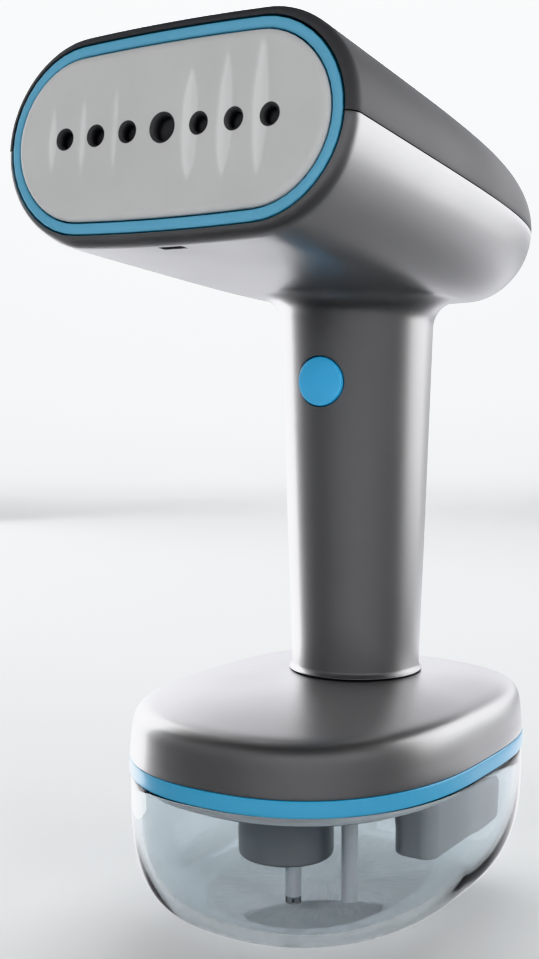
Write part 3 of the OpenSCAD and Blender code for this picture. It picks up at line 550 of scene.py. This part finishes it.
def make_cap():
    s = Shape()
    bore, edge = 17.6, 0.3          # of the hole for the handle's spigot
    rim = [(0.5, 0.04), (0.26, 0.2)]            # (inset, height over the trim ring)
    rings = [outline(inset, RING_TOP + rise) for inset, rise in rim]
    rings += cap_surface(0)
    rings += [circle(r, LAND_Z, HANDLE_Y) for r in (21.5, 19.5, bore + edge)]
    rings += [circle(bore, LAND_Z - edge, HANDLE_Y), circle(bore, LAND_Z - WALL, HANDLE_Y)]
    rings += cap_surface(WALL)[::-4]
    rings += [outline(rim[0][0] + WALL, RING_TOP + rim[0][1])]
    s.loft(rings, closed=True)
    s.make("cap_shell", "steamer", ["base_cap"])


# ---------------------------------------------------------------- head


def share_at(y):
    """Size of the head's section at y, as a share of its size before the rear rounds off."""
    u = np.clip((y - REAR_FROM) / (HEAD_L - REAR_FROM), 0, 1)
    return (1 - u ** HEAD_POWER) ** (1 / HEAD_POWER)


def section_size(y, share=None):
    """Half width, end radius and middle height of the head's section at y."""
    share = share_at(y) if share is None else share
    a = HEAD_A * (1 - NARROW * y / HEAD_L) * share
    e = HEAD_E * (1 - FLATTEN * (y - RIM) / HEAD_L) * share
    return a, e, -DROOP * (y - RIM)


def head_stations():
    """(y, a, e, z) of the head's sections, from the rim to the rear."""
    out = []
    for f in np.radians(np.linspace(0, 90, RIM_STEPS + 1)[:-1]):
        inset = RIM_INSET * (1 - math.sin(f))
        y = RIM * (1 - math.cos(f))
        out.append((y, HEAD_A - inset, HEAD_E - inset, DROOP * (RIM - y)))
    for y in (RIM, SLOT_Y, 7.5, 11.0):
        out.append((y, *section_size(y)))
    pole_gap = 0.0006               # the rearmost section keeps a little size
    phi = (math.pi / 2 - pole_gap) * np.linspace(0, 1, 3001) ** 2
    y = REAR_FROM + (HEAD_L - REAR_FROM) * np.sin(phi) ** (2 / HEAD_POWER)
    share = np.cos(phi) ** (2 / HEAD_POWER)
    mean_e = 24
    s = np.concatenate([[0], np.cumsum(np.hypot(np.diff(y), mean_e * np.diff(share)))])
    straight, coarse, fine = 84, 3.0, 1.2
    for at in np.concatenate([np.arange(0, straight, coarse), np.arange(straight, s[-1], fine), [s[-1]]]):
        y_at, share_here = float(np.interp(at, s, y)), float(np.interp(at, s, share))
        out.append((y_at, *section_size(y_at, share_here)))
    return out


def half_section(y, a, e, z, side):
    """Arc of a section from the joint at +X, over (side 1) or under (side -1), to the joint at -X."""
    edge = SPLIT + side * GAP
    soft = 0.22                     # rounding at the joint
    start = math.asin(max(-1, min(1, side * (edge + side * soft) / e)))
    bend = np.linspace(start, math.pi / 2, BEND_POINTS)
    flat = -FLAT_X[1:-1] * (a - e)
    x = np.concatenate([(a - e) + e * np.cos(bend), flat, -(a - e) - e * np.cos(bend[::-1])])
    v = side * np.concatenate([e * np.sin(bend), np.full(len(flat), e), e * np.sin(bend[::-1])])
    main = np.column_stack([x, np.full(len(x), y), z + v * (1 + BOW * (1 - (x / a) ** 2))])
    tuck = min(1.6, 0.5 * e)        # depth of the joint's face
    steps = [(tuck, 0), (0.3, 0), (0.07, 0.06)]
    right = [(x[0] - inward, y, z + edge + side * rise) for inward, rise in steps]
    left = [(-px, py, pz) for px, py, pz in right[::-1]]
    return np.vstack([right, main, left])


def head_half(s, side, slot_hole=False):
    """Outside of the head's upper or lower shell, with its rim and the edges at the joint."""
    rows = []
    for inset, y in RIM_LIP:
        row = half_section(0, HEAD_A - inset, HEAD_E - inset, DROOP * RIM, side)
        row[:, 1] = y
        rows.append(row)
    rows += [half_section(*station, side) for station in head_stations()]
    index = s.add(to_world(np.array(rows)))
    r0 = len(RIM_LIP) + RIM_STEPS + 1           # row of the station at SLOT_Y
    c0 = 3 + (BEND_POINTS - 1) + (len(FLAT_HALF) - 1)       # column of the slot's end at +X
    s.rows(index, around=False, skip=lambda r, c: slot_hole and r == r0 and c0 <= c < c0 + 2)
    s.face(index[-1])
    if slot_hole:
        loop = [index[r0, c0], index[r0, c0 + 1], index[r0, c0 + 2],
                index[r0 + 1, c0 + 2], index[r0 + 1, c0 + 1], index[r0 + 1, c0]]
        deep = s.add(s.at(loop) + np.array([0, 0, WALL]))
        s.rows([loop, deep])


def make_cover():
    s = Shape()
    head_half(s, 1)
    s.make("head_cover", "steamer", ["top_cover"])


# ---------------------------------------------------------------- handle


def underside(x, y):
    """Height of the head's underside above a point of the ground plane."""
    c, t = math.cos(TILT), math.sin(TILT)
    first_guess, rounds, nearly = -25.0, 12, 0.999
    h = np.full(np.shape(x), first_guess)
    for _ in range(rounds):
        yh = np.minimum((y - HEAD_AT[1] - h * t) / c, HEAD_L - 1)
        a, e, z = section_size(yh)
        over = np.clip(np.abs(x) - (a - e), 0, e * nearly)
        h = z - np.sqrt(e ** 2 - over ** 2) * (1 + BOW * (1 - (x / a) ** 2))
    return HEAD_AT[2] - yh * t + h * c


def fillet_curves(t):
    """Centres and contact points of the fillet between handle and head, in the upright plane at an angle."""
    tau = math.atan(TAPER)
    nearest, farthest = 18, 42      # distances from the handle's axis
    lowest, highest = 150.0, 182.0  # heights that the centre surely lies between
    halvings = 44
    rho = np.linspace(nearest, farthest, 1201)
    curve = underside(rho[None] * np.cos(t)[:, None], HANDLE_Y + rho[None] * np.sin(t)[:, None])
    low, high = np.full(len(t), lowest), np.full(len(t), highest)
    for _ in range(halvings):
        zc = (low + high) / 2
        rc = handle_r(zc + FILLET * math.sin(tau)) + FILLET * math.cos(tau)
        d = np.hypot(rho[None] - rc[:, None], curve - zc[:, None]).min(1)
        low, high = np.where(d > FILLET, zc, low), np.where(d > FILLET, high, zc)
    k = np.hypot(rho[None] - rc[:, None], curve - zc[:, None]).argmin(1)
    return zc, rc, rho[k], curve[np.arange(len(t)), k], rho, curve


def handle_ring(t, r, z):
    """Ring round the handle's axis. r and z are single values or one for each angle."""
    r, z = np.broadcast_to(r, t.shape), np.broadcast_to(z, t.shape)
    return np.column_stack([r * np.cos(t), HANDLE_Y + r * np.sin(t), z])


def handle_foot(t):
    """Rings of the spigot, the bead round the handle's foot and the flare above it."""
    spigot = [(15, 54.5), (17.2, 54.5), (17.2, HANDLE_LOW - 0.6), (17.6, HANDLE_LOW)]
    bead, bead_r, flare = 0.62, 0.28, 0.72      # how far bead and flare stand out
    rows = [handle_ring(t, r, z) for r, z in spigot + [(FOOT_R + 0.6, HANDLE_LOW)]]
    for a in np.radians(np.linspace(-60, 60, 6)):
        z = HANDLE_LOW + BEAD_H / 2 + BEAD_H / 2 * math.sin(a)
        rows.append(handle_ring(t, FOOT_R + bead + bead_r * math.cos(a), z))
    for k in np.linspace(0, 1, 8)[1:]:
        z = HANDLE_LOW + BEAD_H + FLARE_H * k
        rows.append(handle_ring(t, handle_r(z) + flare * (1 - math.sin(k * math.pi / 2)), z))
    return rows


def handle_rows(t):
    """Rings of the whole handle, and the numbers of the first and last ring of its plain taper."""
    zc, rc, contact, contact_z, rho, curve = fillet_curves(t)
    tau = math.atan(TAPER)
    low, top = HANDLE_LOW + BEAD_H + FLARE_H, zc + FILLET * math.sin(tau)
    rows = handle_foot(t)
    first = len(rows)
    for u in np.linspace(0, 1, 54)[1:]:
        z = low + (top - low) * u
        rows.append(handle_ring(t, handle_r(z), z))
    last = len(rows) - 1
    start = math.pi - tau
    end = np.arctan2(contact_z - zc, contact - rc)
    for u in np.linspace(0, 1, 19)[1:]:
        a = start + (end - start) * u
        rows.append(handle_ring(t, rc + FILLET * np.cos(a), zc + FILLET * np.sin(a)))
    sunk = 0.015                    # the last rings run on just under the head's skin
    for out in (0.7, 1.5, 2.4):
        skin = np.array([np.interp(r + out, rho, line) for r, line in zip(contact, curve)])
        rows.append(handle_ring(t, contact + out, skin - sunk))
    return np.array(rows), first, last


def on_handle(x, z):
    """Point of the handle's front surface."""
    return np.stack([x, HANDLE_Y - np.sqrt(handle_r(z) ** 2 - x ** 2), z], -1)


def button_well(s, loop):
    """Handle surface between a loop of its vertices and the button's round hole, and the hole's wall."""
    edge = s.at(loop)
    angle = np.arctan2(edge[:, 2] - BUTTON_Z, edge[:, 0])
    rim = BUTTON_HOLE + 0.13
    crowd = 0.8                     # draws the rows of the surface together near the hole
    x, z = rim * np.cos(angle), BUTTON_Z + rim * np.sin(angle)
    patch = [np.array(loop)]
    for f in 1 - np.linspace(0, 1, 9)[1:] ** crowd:
        patch.append(s.add(on_handle(x + (edge[:, 0] - x) * f, z + (edge[:, 2] - z) * f)))
    surface = on_handle(x, z)
    for wider, depth in ((0.06, 0.02), (0.01, 0.08), (0.0, 0.16), (0.0, 2.4)):
        p = surface.copy()
        p[:, 0] = (BUTTON_HOLE + wider) * np.cos(angle)
        p[:, 2] = BUTTON_Z + (BUTTON_HOLE + wider) * np.sin(angle)
        p[:, 1] += depth
        patch.append(s.add(p))
    s.rows(patch)


def make_handle(s):
    """Adds the handle with its button hole. Column 0 is the handle's front."""
    n, half = 192, 17               # columns round the handle, and on each side of the hole
    t = np.linspace(0, 2 * math.pi, n, endpoint=False) - math.pi / 2
    rows, first, last = handle_rows(t)
    reach = 11.5                    # rings this far from the button's middle bound the hole
    z = rows[:, 0, 2]
    taper = range(first, last + 1)
    r0 = max(r for r in taper if z[r] < BUTTON_Z - reach)
    r1 = min(r for r in taper if z[r] > BUTTON_Z + reach)
    index = s.add(rows)
    s.rows(index, skip=lambda r, c: r0 <= r < r1 and (c < half or c >= n - half))
    cols = [c % n for c in range(-half, half + 1)]
    loop = [index[r0, c] for c in cols] + [index[r, cols[-1]] for r in range(r0 + 1, r1)]
    loop += [index[r1, c] for c in cols[::-1]] + [index[r, cols[0]] for r in range(r1 - 1, r0, -1)]
    button_well(s, loop)


def make_housing():
    s = Shape()
    head_half(s, -1, slot_hole=True)
    make_handle(s)
    s.make("handle_and_lower_head", "steamer", ["main_housing"])


# ---------------------------------------------------------------- steam plate and its ring


def make_plate_ring():
    s = Shape()
    half, power = TRIM / 2, 0.62
    middle_y, bulge, back_y = 0.45, 0.85, 2.2
    rings = []
    for a in np.radians(np.linspace(0, 180, 21)):
        inset = half - half * signed_pow(math.cos(a), power)
        rings.append(oval(PLATE_A - inset, PLATE_E - inset, middle_y - bulge * abs(math.sin(a)) ** power))
    rings += [oval(PLATE_A - TRIM, PLATE_E - TRIM, back_y), oval(PLATE_A, PLATE_E, back_y)]
    s.loft([to_world(r) for r in rings], closed=True)
    s.make("plate_trim", "steamer", ["plate_ring"])


def channel_width(flute, z, power):
    """Half width of a channel at height z, and how high z is in it, from -1 at its foot to 1 at its top."""
    _, half_w, half_h, rise = flute
    v = (z - HOLE_Z - rise) / half_h
    return half_w * np.clip(1 - v ** 2, 1e-4, 1) ** power, v


def plate_depth(x, z):
    """How far the plate's face lies behind its rim: a lens-shaped channel at each small hole."""
    pointed, steep, soft = 0.75, 0.1, 0.015
    d = np.zeros(np.shape(x))
    for flute in FLUTES:
        width, _ = channel_width(flute, z, pointed)
        u = np.clip(np.abs(x - flute[0]) / width, 0, 1)
        d = np.maximum(d, steep * width * (1 - np.sqrt(u ** 2 + soft)))
    return d


def channel_highlight_share(x, z):
    """Share of the painted highlight: 1 on the channels' faces, falling to 0 towards their edges, and 0 on
    the rest of the plate.
    """
    blunt, fade = 0.6, 1.5
    share = np.zeros(np.shape(x))
    for flute in FLUTES:
        width, v = channel_width(flute, z, blunt)
        share = np.maximum(share, np.clip((width - np.abs(x - flute[0])) / fade, 0, 1) * (np.abs(v) < 1))
    return share


ROLL = 1.6                          # width of the plate's rounded edge
PLATE_GAP = 0.35                    # between the plate and its ring
SOLE_A, SOLE_E = PLATE_A - TRIM - PLATE_GAP, PLATE_E - TRIM - PLATE_GAP
HOLE_TURN = np.linspace(0, 2 * math.pi, 48, endpoint=False)


def sole_oval(inset, y):
    return oval(SOLE_A - inset, SOLE_E - inset, y, ends=26, side=40)


def hole_ring(x, r):
    """Points round a steam hole, in the plate's plane."""
    return np.column_stack([x + r * np.cos(HOLE_TURN), HOLE_Z + r * np.sin(HOLE_TURN)])


def sole_grid():
    """Points of the plate's face between its border and its holes."""
    flat = SOLE_A - SOLE_E
    reach_x, reach_z, step_x, step_z = 46, 22, 0.6, 1.1
    past_end, past_side, past_hole = 2.6, 2.4, 1.5      # kept clear of the border and of each hole
    xs = np.arange(-reach_x, reach_x + 0.1, step_x)
    zs = np.arange(-reach_z, reach_z + 0.1, step_z)
    gx, gz = np.meshgrid(xs, zs)
    grid = np.column_stack([gx.ravel(), gz.ravel()])
    x, z = np.abs(grid).T
    inside = np.hypot(np.clip(x - flat, 0, None), z) < SOLE_E - past_end
    inside |= (x < flat) & (z < SOLE_E - past_side)
    for middle, r in HOLES:
        inside &= np.hypot(grid[:, 0] - middle, grid[:, 1] - HOLE_Z) > r + SINK + past_hole
    return grid[inside]


def sole_face(s):
    """Adds the plate's face, a mesh round the holes. Returns how far each of its points is in a channel,
    which sets the painted highlight.
    """
    loops = [sole_oval(ROLL, 0)[:, [0, 2]]]
    loops += [hole_ring(x, r + SINK + out) for x, r in HOLES for out in (0.0, 0.35, 0.9)]
    edges, count = [], 0
    for points in loops:
        n = len(points)
        edges += [(count + i, count + (i + 1) % n) for i in range(n)]
        count += n
    flat = np.concatenate(loops + [sole_grid()])
    points, _, faces = delaunay_2d_cdt([Vector(p) for p in flat], edges, [], 0, 1e-5)[:3]
    x, z = np.array([tuple(p) for p in points]).T
    index = s.add(to_world(np.column_stack([x, PLATE_Y + plate_depth(x, z), z])))
    for f in faces:
        mx, mz = x[list(f)].mean(), z[list(f)].mean()
        in_hole = any(math.hypot(mx - hx, mz - HOLE_Z) < r + SINK - 0.01 for hx, r in HOLES)
        outside = abs(mx) > SOLE_A - SOLE_E and math.hypot(abs(mx) - (SOLE_A - SOLE_E), mz) > SOLE_E
        if not in_hole and not outside:
            s.face([index[i] for i in f])
    return channel_highlight_share(x, z)


def sole_edge(s):
    drop, back_y = 1.1, 2
    rings = []
    for a in np.radians(np.linspace(0, 90, 7)):
        rings.append(sole_oval(ROLL * (1 - math.sin(a)), PLATE_Y + drop * (1 - math.cos(a))))
    rings.append(sole_oval(0, back_y))
    s.loft([to_world(r) for r in rings])


def sole_hole(s, x, r):
    """Countersunk steam hole, painted dark as shade, closed at its end by a dark disc that stands in for the
    shade deeper in.
    """
    face = PLATE_Y + plate_depth(*hole_ring(x, r + SINK).T)
    rows = []
    for q, d in ((r + SINK, 0), (r + SINK - 0.12, 0.06), (r + 0.12, SINK - 0.06), (r, SINK + 0.15)):
        rows.append((q, face + d))
    # The dark disc closing the bore is painted shade in place of the dark channel behind it
    for q, d in ((r, 2.9), (r * 0.62, 3.0)):
        rows.append((q, np.full(len(HOLE_TURN), PLATE_Y + d)))
    rings = [np.insert(hole_ring(x, q), 1, y, axis=1) for q, y in rows]
    s.loft([to_world(ring) for ring in rings], slot=1, last=True)


def make_plate():
    s = Shape()
    channel = sole_face(s)
    sole_edge(s)
    for x, r in HOLES:
        sole_hole(s, x, r)
    # The holes take the second material, the painted shade
    sole = s.make("steam_sole", "steamer", ["steam_plate"], sharp=30,
                  materials=[MATERIALS["plate_coating"], MATERIALS["steam_hole_painted_shade"]])
    # The channel attribute carries the painted highlight of the coating
    values = np.zeros(len(sole.data.vertices))
    values[:len(channel)] = channel
    sole.data.attributes.new("channel", "FLOAT", "POINT").data.foreach_set("value", values)


# ---------------------------------------------------------------- button, pods and gland


def make_button():
    """Domed cap, its flange behind the handle's wall and the stem that meets the switch."""
    s = Shape()
    top, fall, fall_r = -0.9, 0.82, 6.9
    flange_r, flange_y, flange_back = BUTTON_R + 1.3, 4.9, 6.1
    stem_r, stem_y, axis_r = 2.4, 15.7, 0.3
    dome = [(r, top + fall * (r / fall_r) ** 2) for r in np.linspace(0.4, 6.7, 12)]
    edge = arc((BUTTON_R - 0.55, 0.42), (0.55, 0.5), -78, 0, 7)
    back = [(BUTTON_R, flange_y), (flange_r, flange_y), (flange_r, flange_back), (stem_r, flange_back),
            (stem_r, stem_y), (axis_r, stem_y)]
    s.loft(revolve(dome + edge + back, (0, BUTTON_Y, BUTTON_Z), axis="y"), first=True, last=True)
    s.make("button_cap", "button", ["steam_button"])


def make_round_pod():
    """Cup of the pump: floor with a rounded edge, drafted wall and a flange under the base floor."""
    s = Shape()
    at = (-1, -20, 0)
    axis_r, corner, low_r = 0.3, 1.3, 12.6
    wall_r, flange_r, flange_low, flange_top = 14.5, 16.9, POD_TOP + 0.15, POD_TOP + 1.5
    floor_z, floor_r, mouth_r = POD_LOW + 1.7, 12.3, 12.9
    outside = [(axis_r, POD_LOW), (6, POD_LOW), (11.5, POD_LOW)]
    outside += arc((low_r, POD_LOW + corner), corner, -90, -2, 7)
    outside += [(wall_r, POD_TOP), (wall_r, flange_low), (flange_r, flange_low), (flange_r, flange_top)]
    inside = [(mouth_r, flange_top), (floor_r, floor_z), (axis_r, floor_z)]
    s.loft(revolve(outside + inside, at), first=True, last=True)
    s.make("pump_cup", "steamer", ["pump_pod"])


def round_rect(w, l, r, z, at, n=10):
    out = []
    for sx, sy, start in ((1, 1, 0), (-1, 1, 90), (-1, -1, 180), (1, -1, 270)):
        for a in np.radians(np.linspace(start, start + 90, n)):
            x = at[0] + sx * (w / 2 - r) + r * math.cos(a)
            out.append((x, at[1] + sy * (l / 2 - r) + r * math.sin(a), z))
    return np.array(out)


def make_long_pod():
    """Case of the control board: rounded floor edge, plain walls and a flange under the base floor."""
    s = Shape()
    at, w, l, r = (32.5, 19), 13.5, 50, 4.5
    corner, wall, flange = 1.4, 1.6, 1.5
    flange_low, flange_top = POD_TOP + 0.15, POD_TOP + 1.55

    def ring(grow, z):
        return round_rect(w + 2 * grow, l + 2 * grow, r + grow, z, at)

    rings = [round_rect(w - 5, l - 5, 1.2, POD_LOW, at)]
    for a in np.radians(np.linspace(-90, 0, 7)):
        rings.append(ring(corner * (math.cos(a) - 1), POD_LOW + corner + corner * math.sin(a)))
    rings += [ring(0, flange_low), ring(flange, flange_low), ring(flange, flange_top)]
    rings += [ring(-wall, flange_top), ring(-wall, POD_LOW + wall)]
    s.loft(rings, first=True, last=True)
    s.make("board_case", "steamer", ["board_pod_shell"])


def make_gland():
    """Bush for the lead: a sleeve through the cap's rear wall with a rounded collar outside."""
    s = Shape()
    at = (0, HALF_L - 0.2, RING_TOP + 6.6)
    bore_r, sleeve_r, collar_r, inner_end, face = 3.6, 5, 6.1, -10.4, 0.15
    profile = [(bore_r, inner_end), (sleeve_r, inner_end), (sleeve_r, face), (collar_r, face)]
    profile += arc((collar_r, 0.45), 0.3, -90, 0, 4) + arc((5.7, 0.9), 0.7, 0, 90, 6)
    profile += [(4.6, 1.55), (4.2, 1.5), (3.75, 1.3), (bore_r, 1.05), (bore_r, -5)]
    s.loft(revolve(profile, at, axis="y"), closed=True)
    s.make("cord_bush", "steamer", ["cord_gland"])


make_tank()
make_base_ring()
make_cap()
make_housing()
make_cover()
make_plate_ring()
make_plate()
make_button()
make_round_pod()
make_long_pod()
make_gland()

# ---------------------------------------------------------------- floor, world and lights, in metres


def make_floor():
    """Pale floor that bends up into a wall behind the object."""
    bend_at, bend_r, wall_top = -1.6, 0.9, 3.0
    profile = [(2.2, 0), (0.6, 0), (0, 0), (-1.0, 0), (bend_at, 0)]     # (way towards the camera, height)
    for a in np.linspace(0.1, math.pi / 2, 14):
        profile.append((bend_at - bend_r * math.sin(a), bend_r * (1 - math.cos(a))))
    profile.append((bend_at - bend_r, wall_top))
    across = (-3.5, -1, 0, 1, 3.5)
    n = len(across)
    points = [tuple(TO_CAMERA * u + TO_RIGHT * v + Vector((0, 0, z))) for u, z in profile for v in across]
    quads = [(r * n + c, r * n + c + 1, (r + 1) * n + c + 1, (r + 1) * n + c)
             for r in range(len(profile) - 1) for c in range(n - 1)]
    mesh = bpy.data.meshes.new("studio_floor")
    mesh.from_pydata(points, [], quads)
    mesh.shade_smooth()
    studio_floor = bpy.data.objects.new("studio_floor", mesh)
    SCENE.collection.objects.link(studio_floor)
    paint = Paint("studio_floor", Roughness=0.9, Specular_IOR_Level=0.1)
    paint.colour(paint.noise(3), (0.70, 0.715, 0.72), (0.73, 0.74, 0.745))
    mesh.materials.append(paint.material)
    studio_floor.visible_glossy = False


def world_node(tree, kind, **links):
    n = tree.nodes.new(kind)
    for socket, source in links.items():
        tree.links.new(source, n.inputs[socket])
    return n


def world_ramp(tree, value, stops):
    """Grey level that follows stops of (value, level), for values from -1 to 1."""
    low, high, cool = -1, 1, 1.02
    m = world_node(tree, "ShaderNodeMapRange", Value=value)
    m.inputs["From Min"].default_value, m.inputs["From Max"].default_value = low, high
    ramp = world_node(tree, "ShaderNodeValToRGB", Fac=m.outputs["Result"])
    while len(ramp.color_ramp.elements) < len(stops):
        ramp.color_ramp.elements.new(0.5)
    for el, (at, v) in zip(ramp.color_ramp.elements, stops):
        el.position = (at - low) / (high - low)
        el.color = (v, v, v * cool, 1)
    return ramp.outputs["Color"]


# Behind the object the room glows, in front of it the room is dim: (1 towards the camera, level)
ROUND_GLOW = [(-1.0, 1.0), (-0.75, 0.85), (-0.45, 0.30), (-0.1, 0.10),
              (0.45, 0.04), (0.7, 0.085), (1.0, 0.15)]
# Bright bands above and below the horizon: (1 straight up, level)
RISE_GLOW = [(-1.0, 0.2), (-0.48, 0.4), (-0.28, 2.5), (-0.12, 0.75), (0.0, 0.7),
             (0.14, 2.6), (0.34, 2.3), (0.5, 0.3), (0.7, 0.03)]


def make_world():
    """A room seen in reflections, and a plain pale background for the camera and through the clear tank."""
    world = bpy.data.worlds.new("studio")
    SCENE.world = world
    world.use_nodes = True
    tree = world.node_tree
    tree.nodes.clear()
    way = world_node(tree, "ShaderNodeTexCoord").outputs["Generated"]
    facing = tree.nodes.new("ShaderNodeVectorMath")
    facing.operation = "DOT_PRODUCT"
    tree.links.new(way, facing.inputs[0])
    facing.inputs[1].default_value = TO_CAMERA
    split = world_node(tree, "ShaderNodeSeparateXYZ", Vector=way)
    both = tree.nodes.new("ShaderNodeMix")
    both.data_type = "RGBA"
    both.blend_type = "MULTIPLY"
    both.inputs["Factor"].default_value = 1
    tree.links.new(world_ramp(tree, facing.outputs["Value"], ROUND_GLOW), both.inputs["A"])
    tree.links.new(world_ramp(tree, split.outputs["Z"], RISE_GLOW), both.inputs["B"])
    room = world_node(tree, "ShaderNodeBackground", Color=both.outputs["Result"])
    back = tree.nodes.new("ShaderNodeBackground")
    back.inputs["Color"].default_value = (0.62, 0.64, 0.65, 1)
    path = tree.nodes.new("ShaderNodeLightPath")
    seen = world_node(tree, "ShaderNodeMath", Value=path.outputs["Is Camera Ray"])
    seen.operation = "MAXIMUM"
    seen.use_clamp = True
    tree.links.new(path.outputs["Transmission Depth"], seen.inputs[1])
    pick = world_node(tree, "ShaderNodeMixShader", Fac=seen.outputs["Value"])
    tree.links.new(room.outputs["Background"], pick.inputs[1])
    tree.links.new(back.outputs["Background"], pick.inputs[2])
    world_node(tree, "ShaderNodeOutputWorld", Surface=pick.outputs["Shader"])


MIDDLE = Vector((0, 0, 0.12))


def soft_light(name, turn, rise, distance, size, power, target=MIDDLE, aim=None, glossy=True):
    """Softbox at an angle turned to the right of the camera and raised above the horizon, in degrees.
    It faces its target, or along aim."""
    t, e = math.radians(turn), math.radians(rise)
    way = (TO_CAMERA * math.cos(t) + TO_RIGHT * math.sin(t)) * math.cos(e) + Vector((0, 0, math.sin(e)))
    lamp = bpy.data.lights.new(name, "AREA")
    lamp.shape = "RECTANGLE"
    lamp.size, lamp.size_y = size
    lamp.energy = power
    o = bpy.data.objects.new(name, lamp)
    o.location = target + way * distance
    o.rotation_euler = (-way if aim is None else aim).to_track_quat("-Z", "Y").to_euler()
    o.visible_camera = False
    o.visible_glossy = glossy
    SCENE.collection.objects.link(o)


def make_lights():
    soft_light("box_right", 104, 14, 1.0, (0.85, 0.85), 4)
    soft_light("box_left", -140, 8, 1.0, (0.8, 1.2), 9)
    soft_light("box_top", 165, 46, 1.1, (0.9, 0.6), 9, glossy=False)
    soft_light("fill_plate", -50, 24, 1.2, (0.6, 0.6), 6, glossy=False)
    soft_light("fill_right", 38, 16, 1.2, (0.5, 0.5), 6.5, glossy=False)
    soft_light("wash", 180, 50, 1.0, (2.6, 0.5), 50, target=TO_CAMERA * -1.1 + Vector((0, 0, 0.55)),
               aim=Vector((-TO_CAMERA.x, -TO_CAMERA.y, -0.7)), glossy=False)


make_floor()
make_world()
make_lights()
SCENE.view_settings.view_transform = "Khronos PBR Neutral"
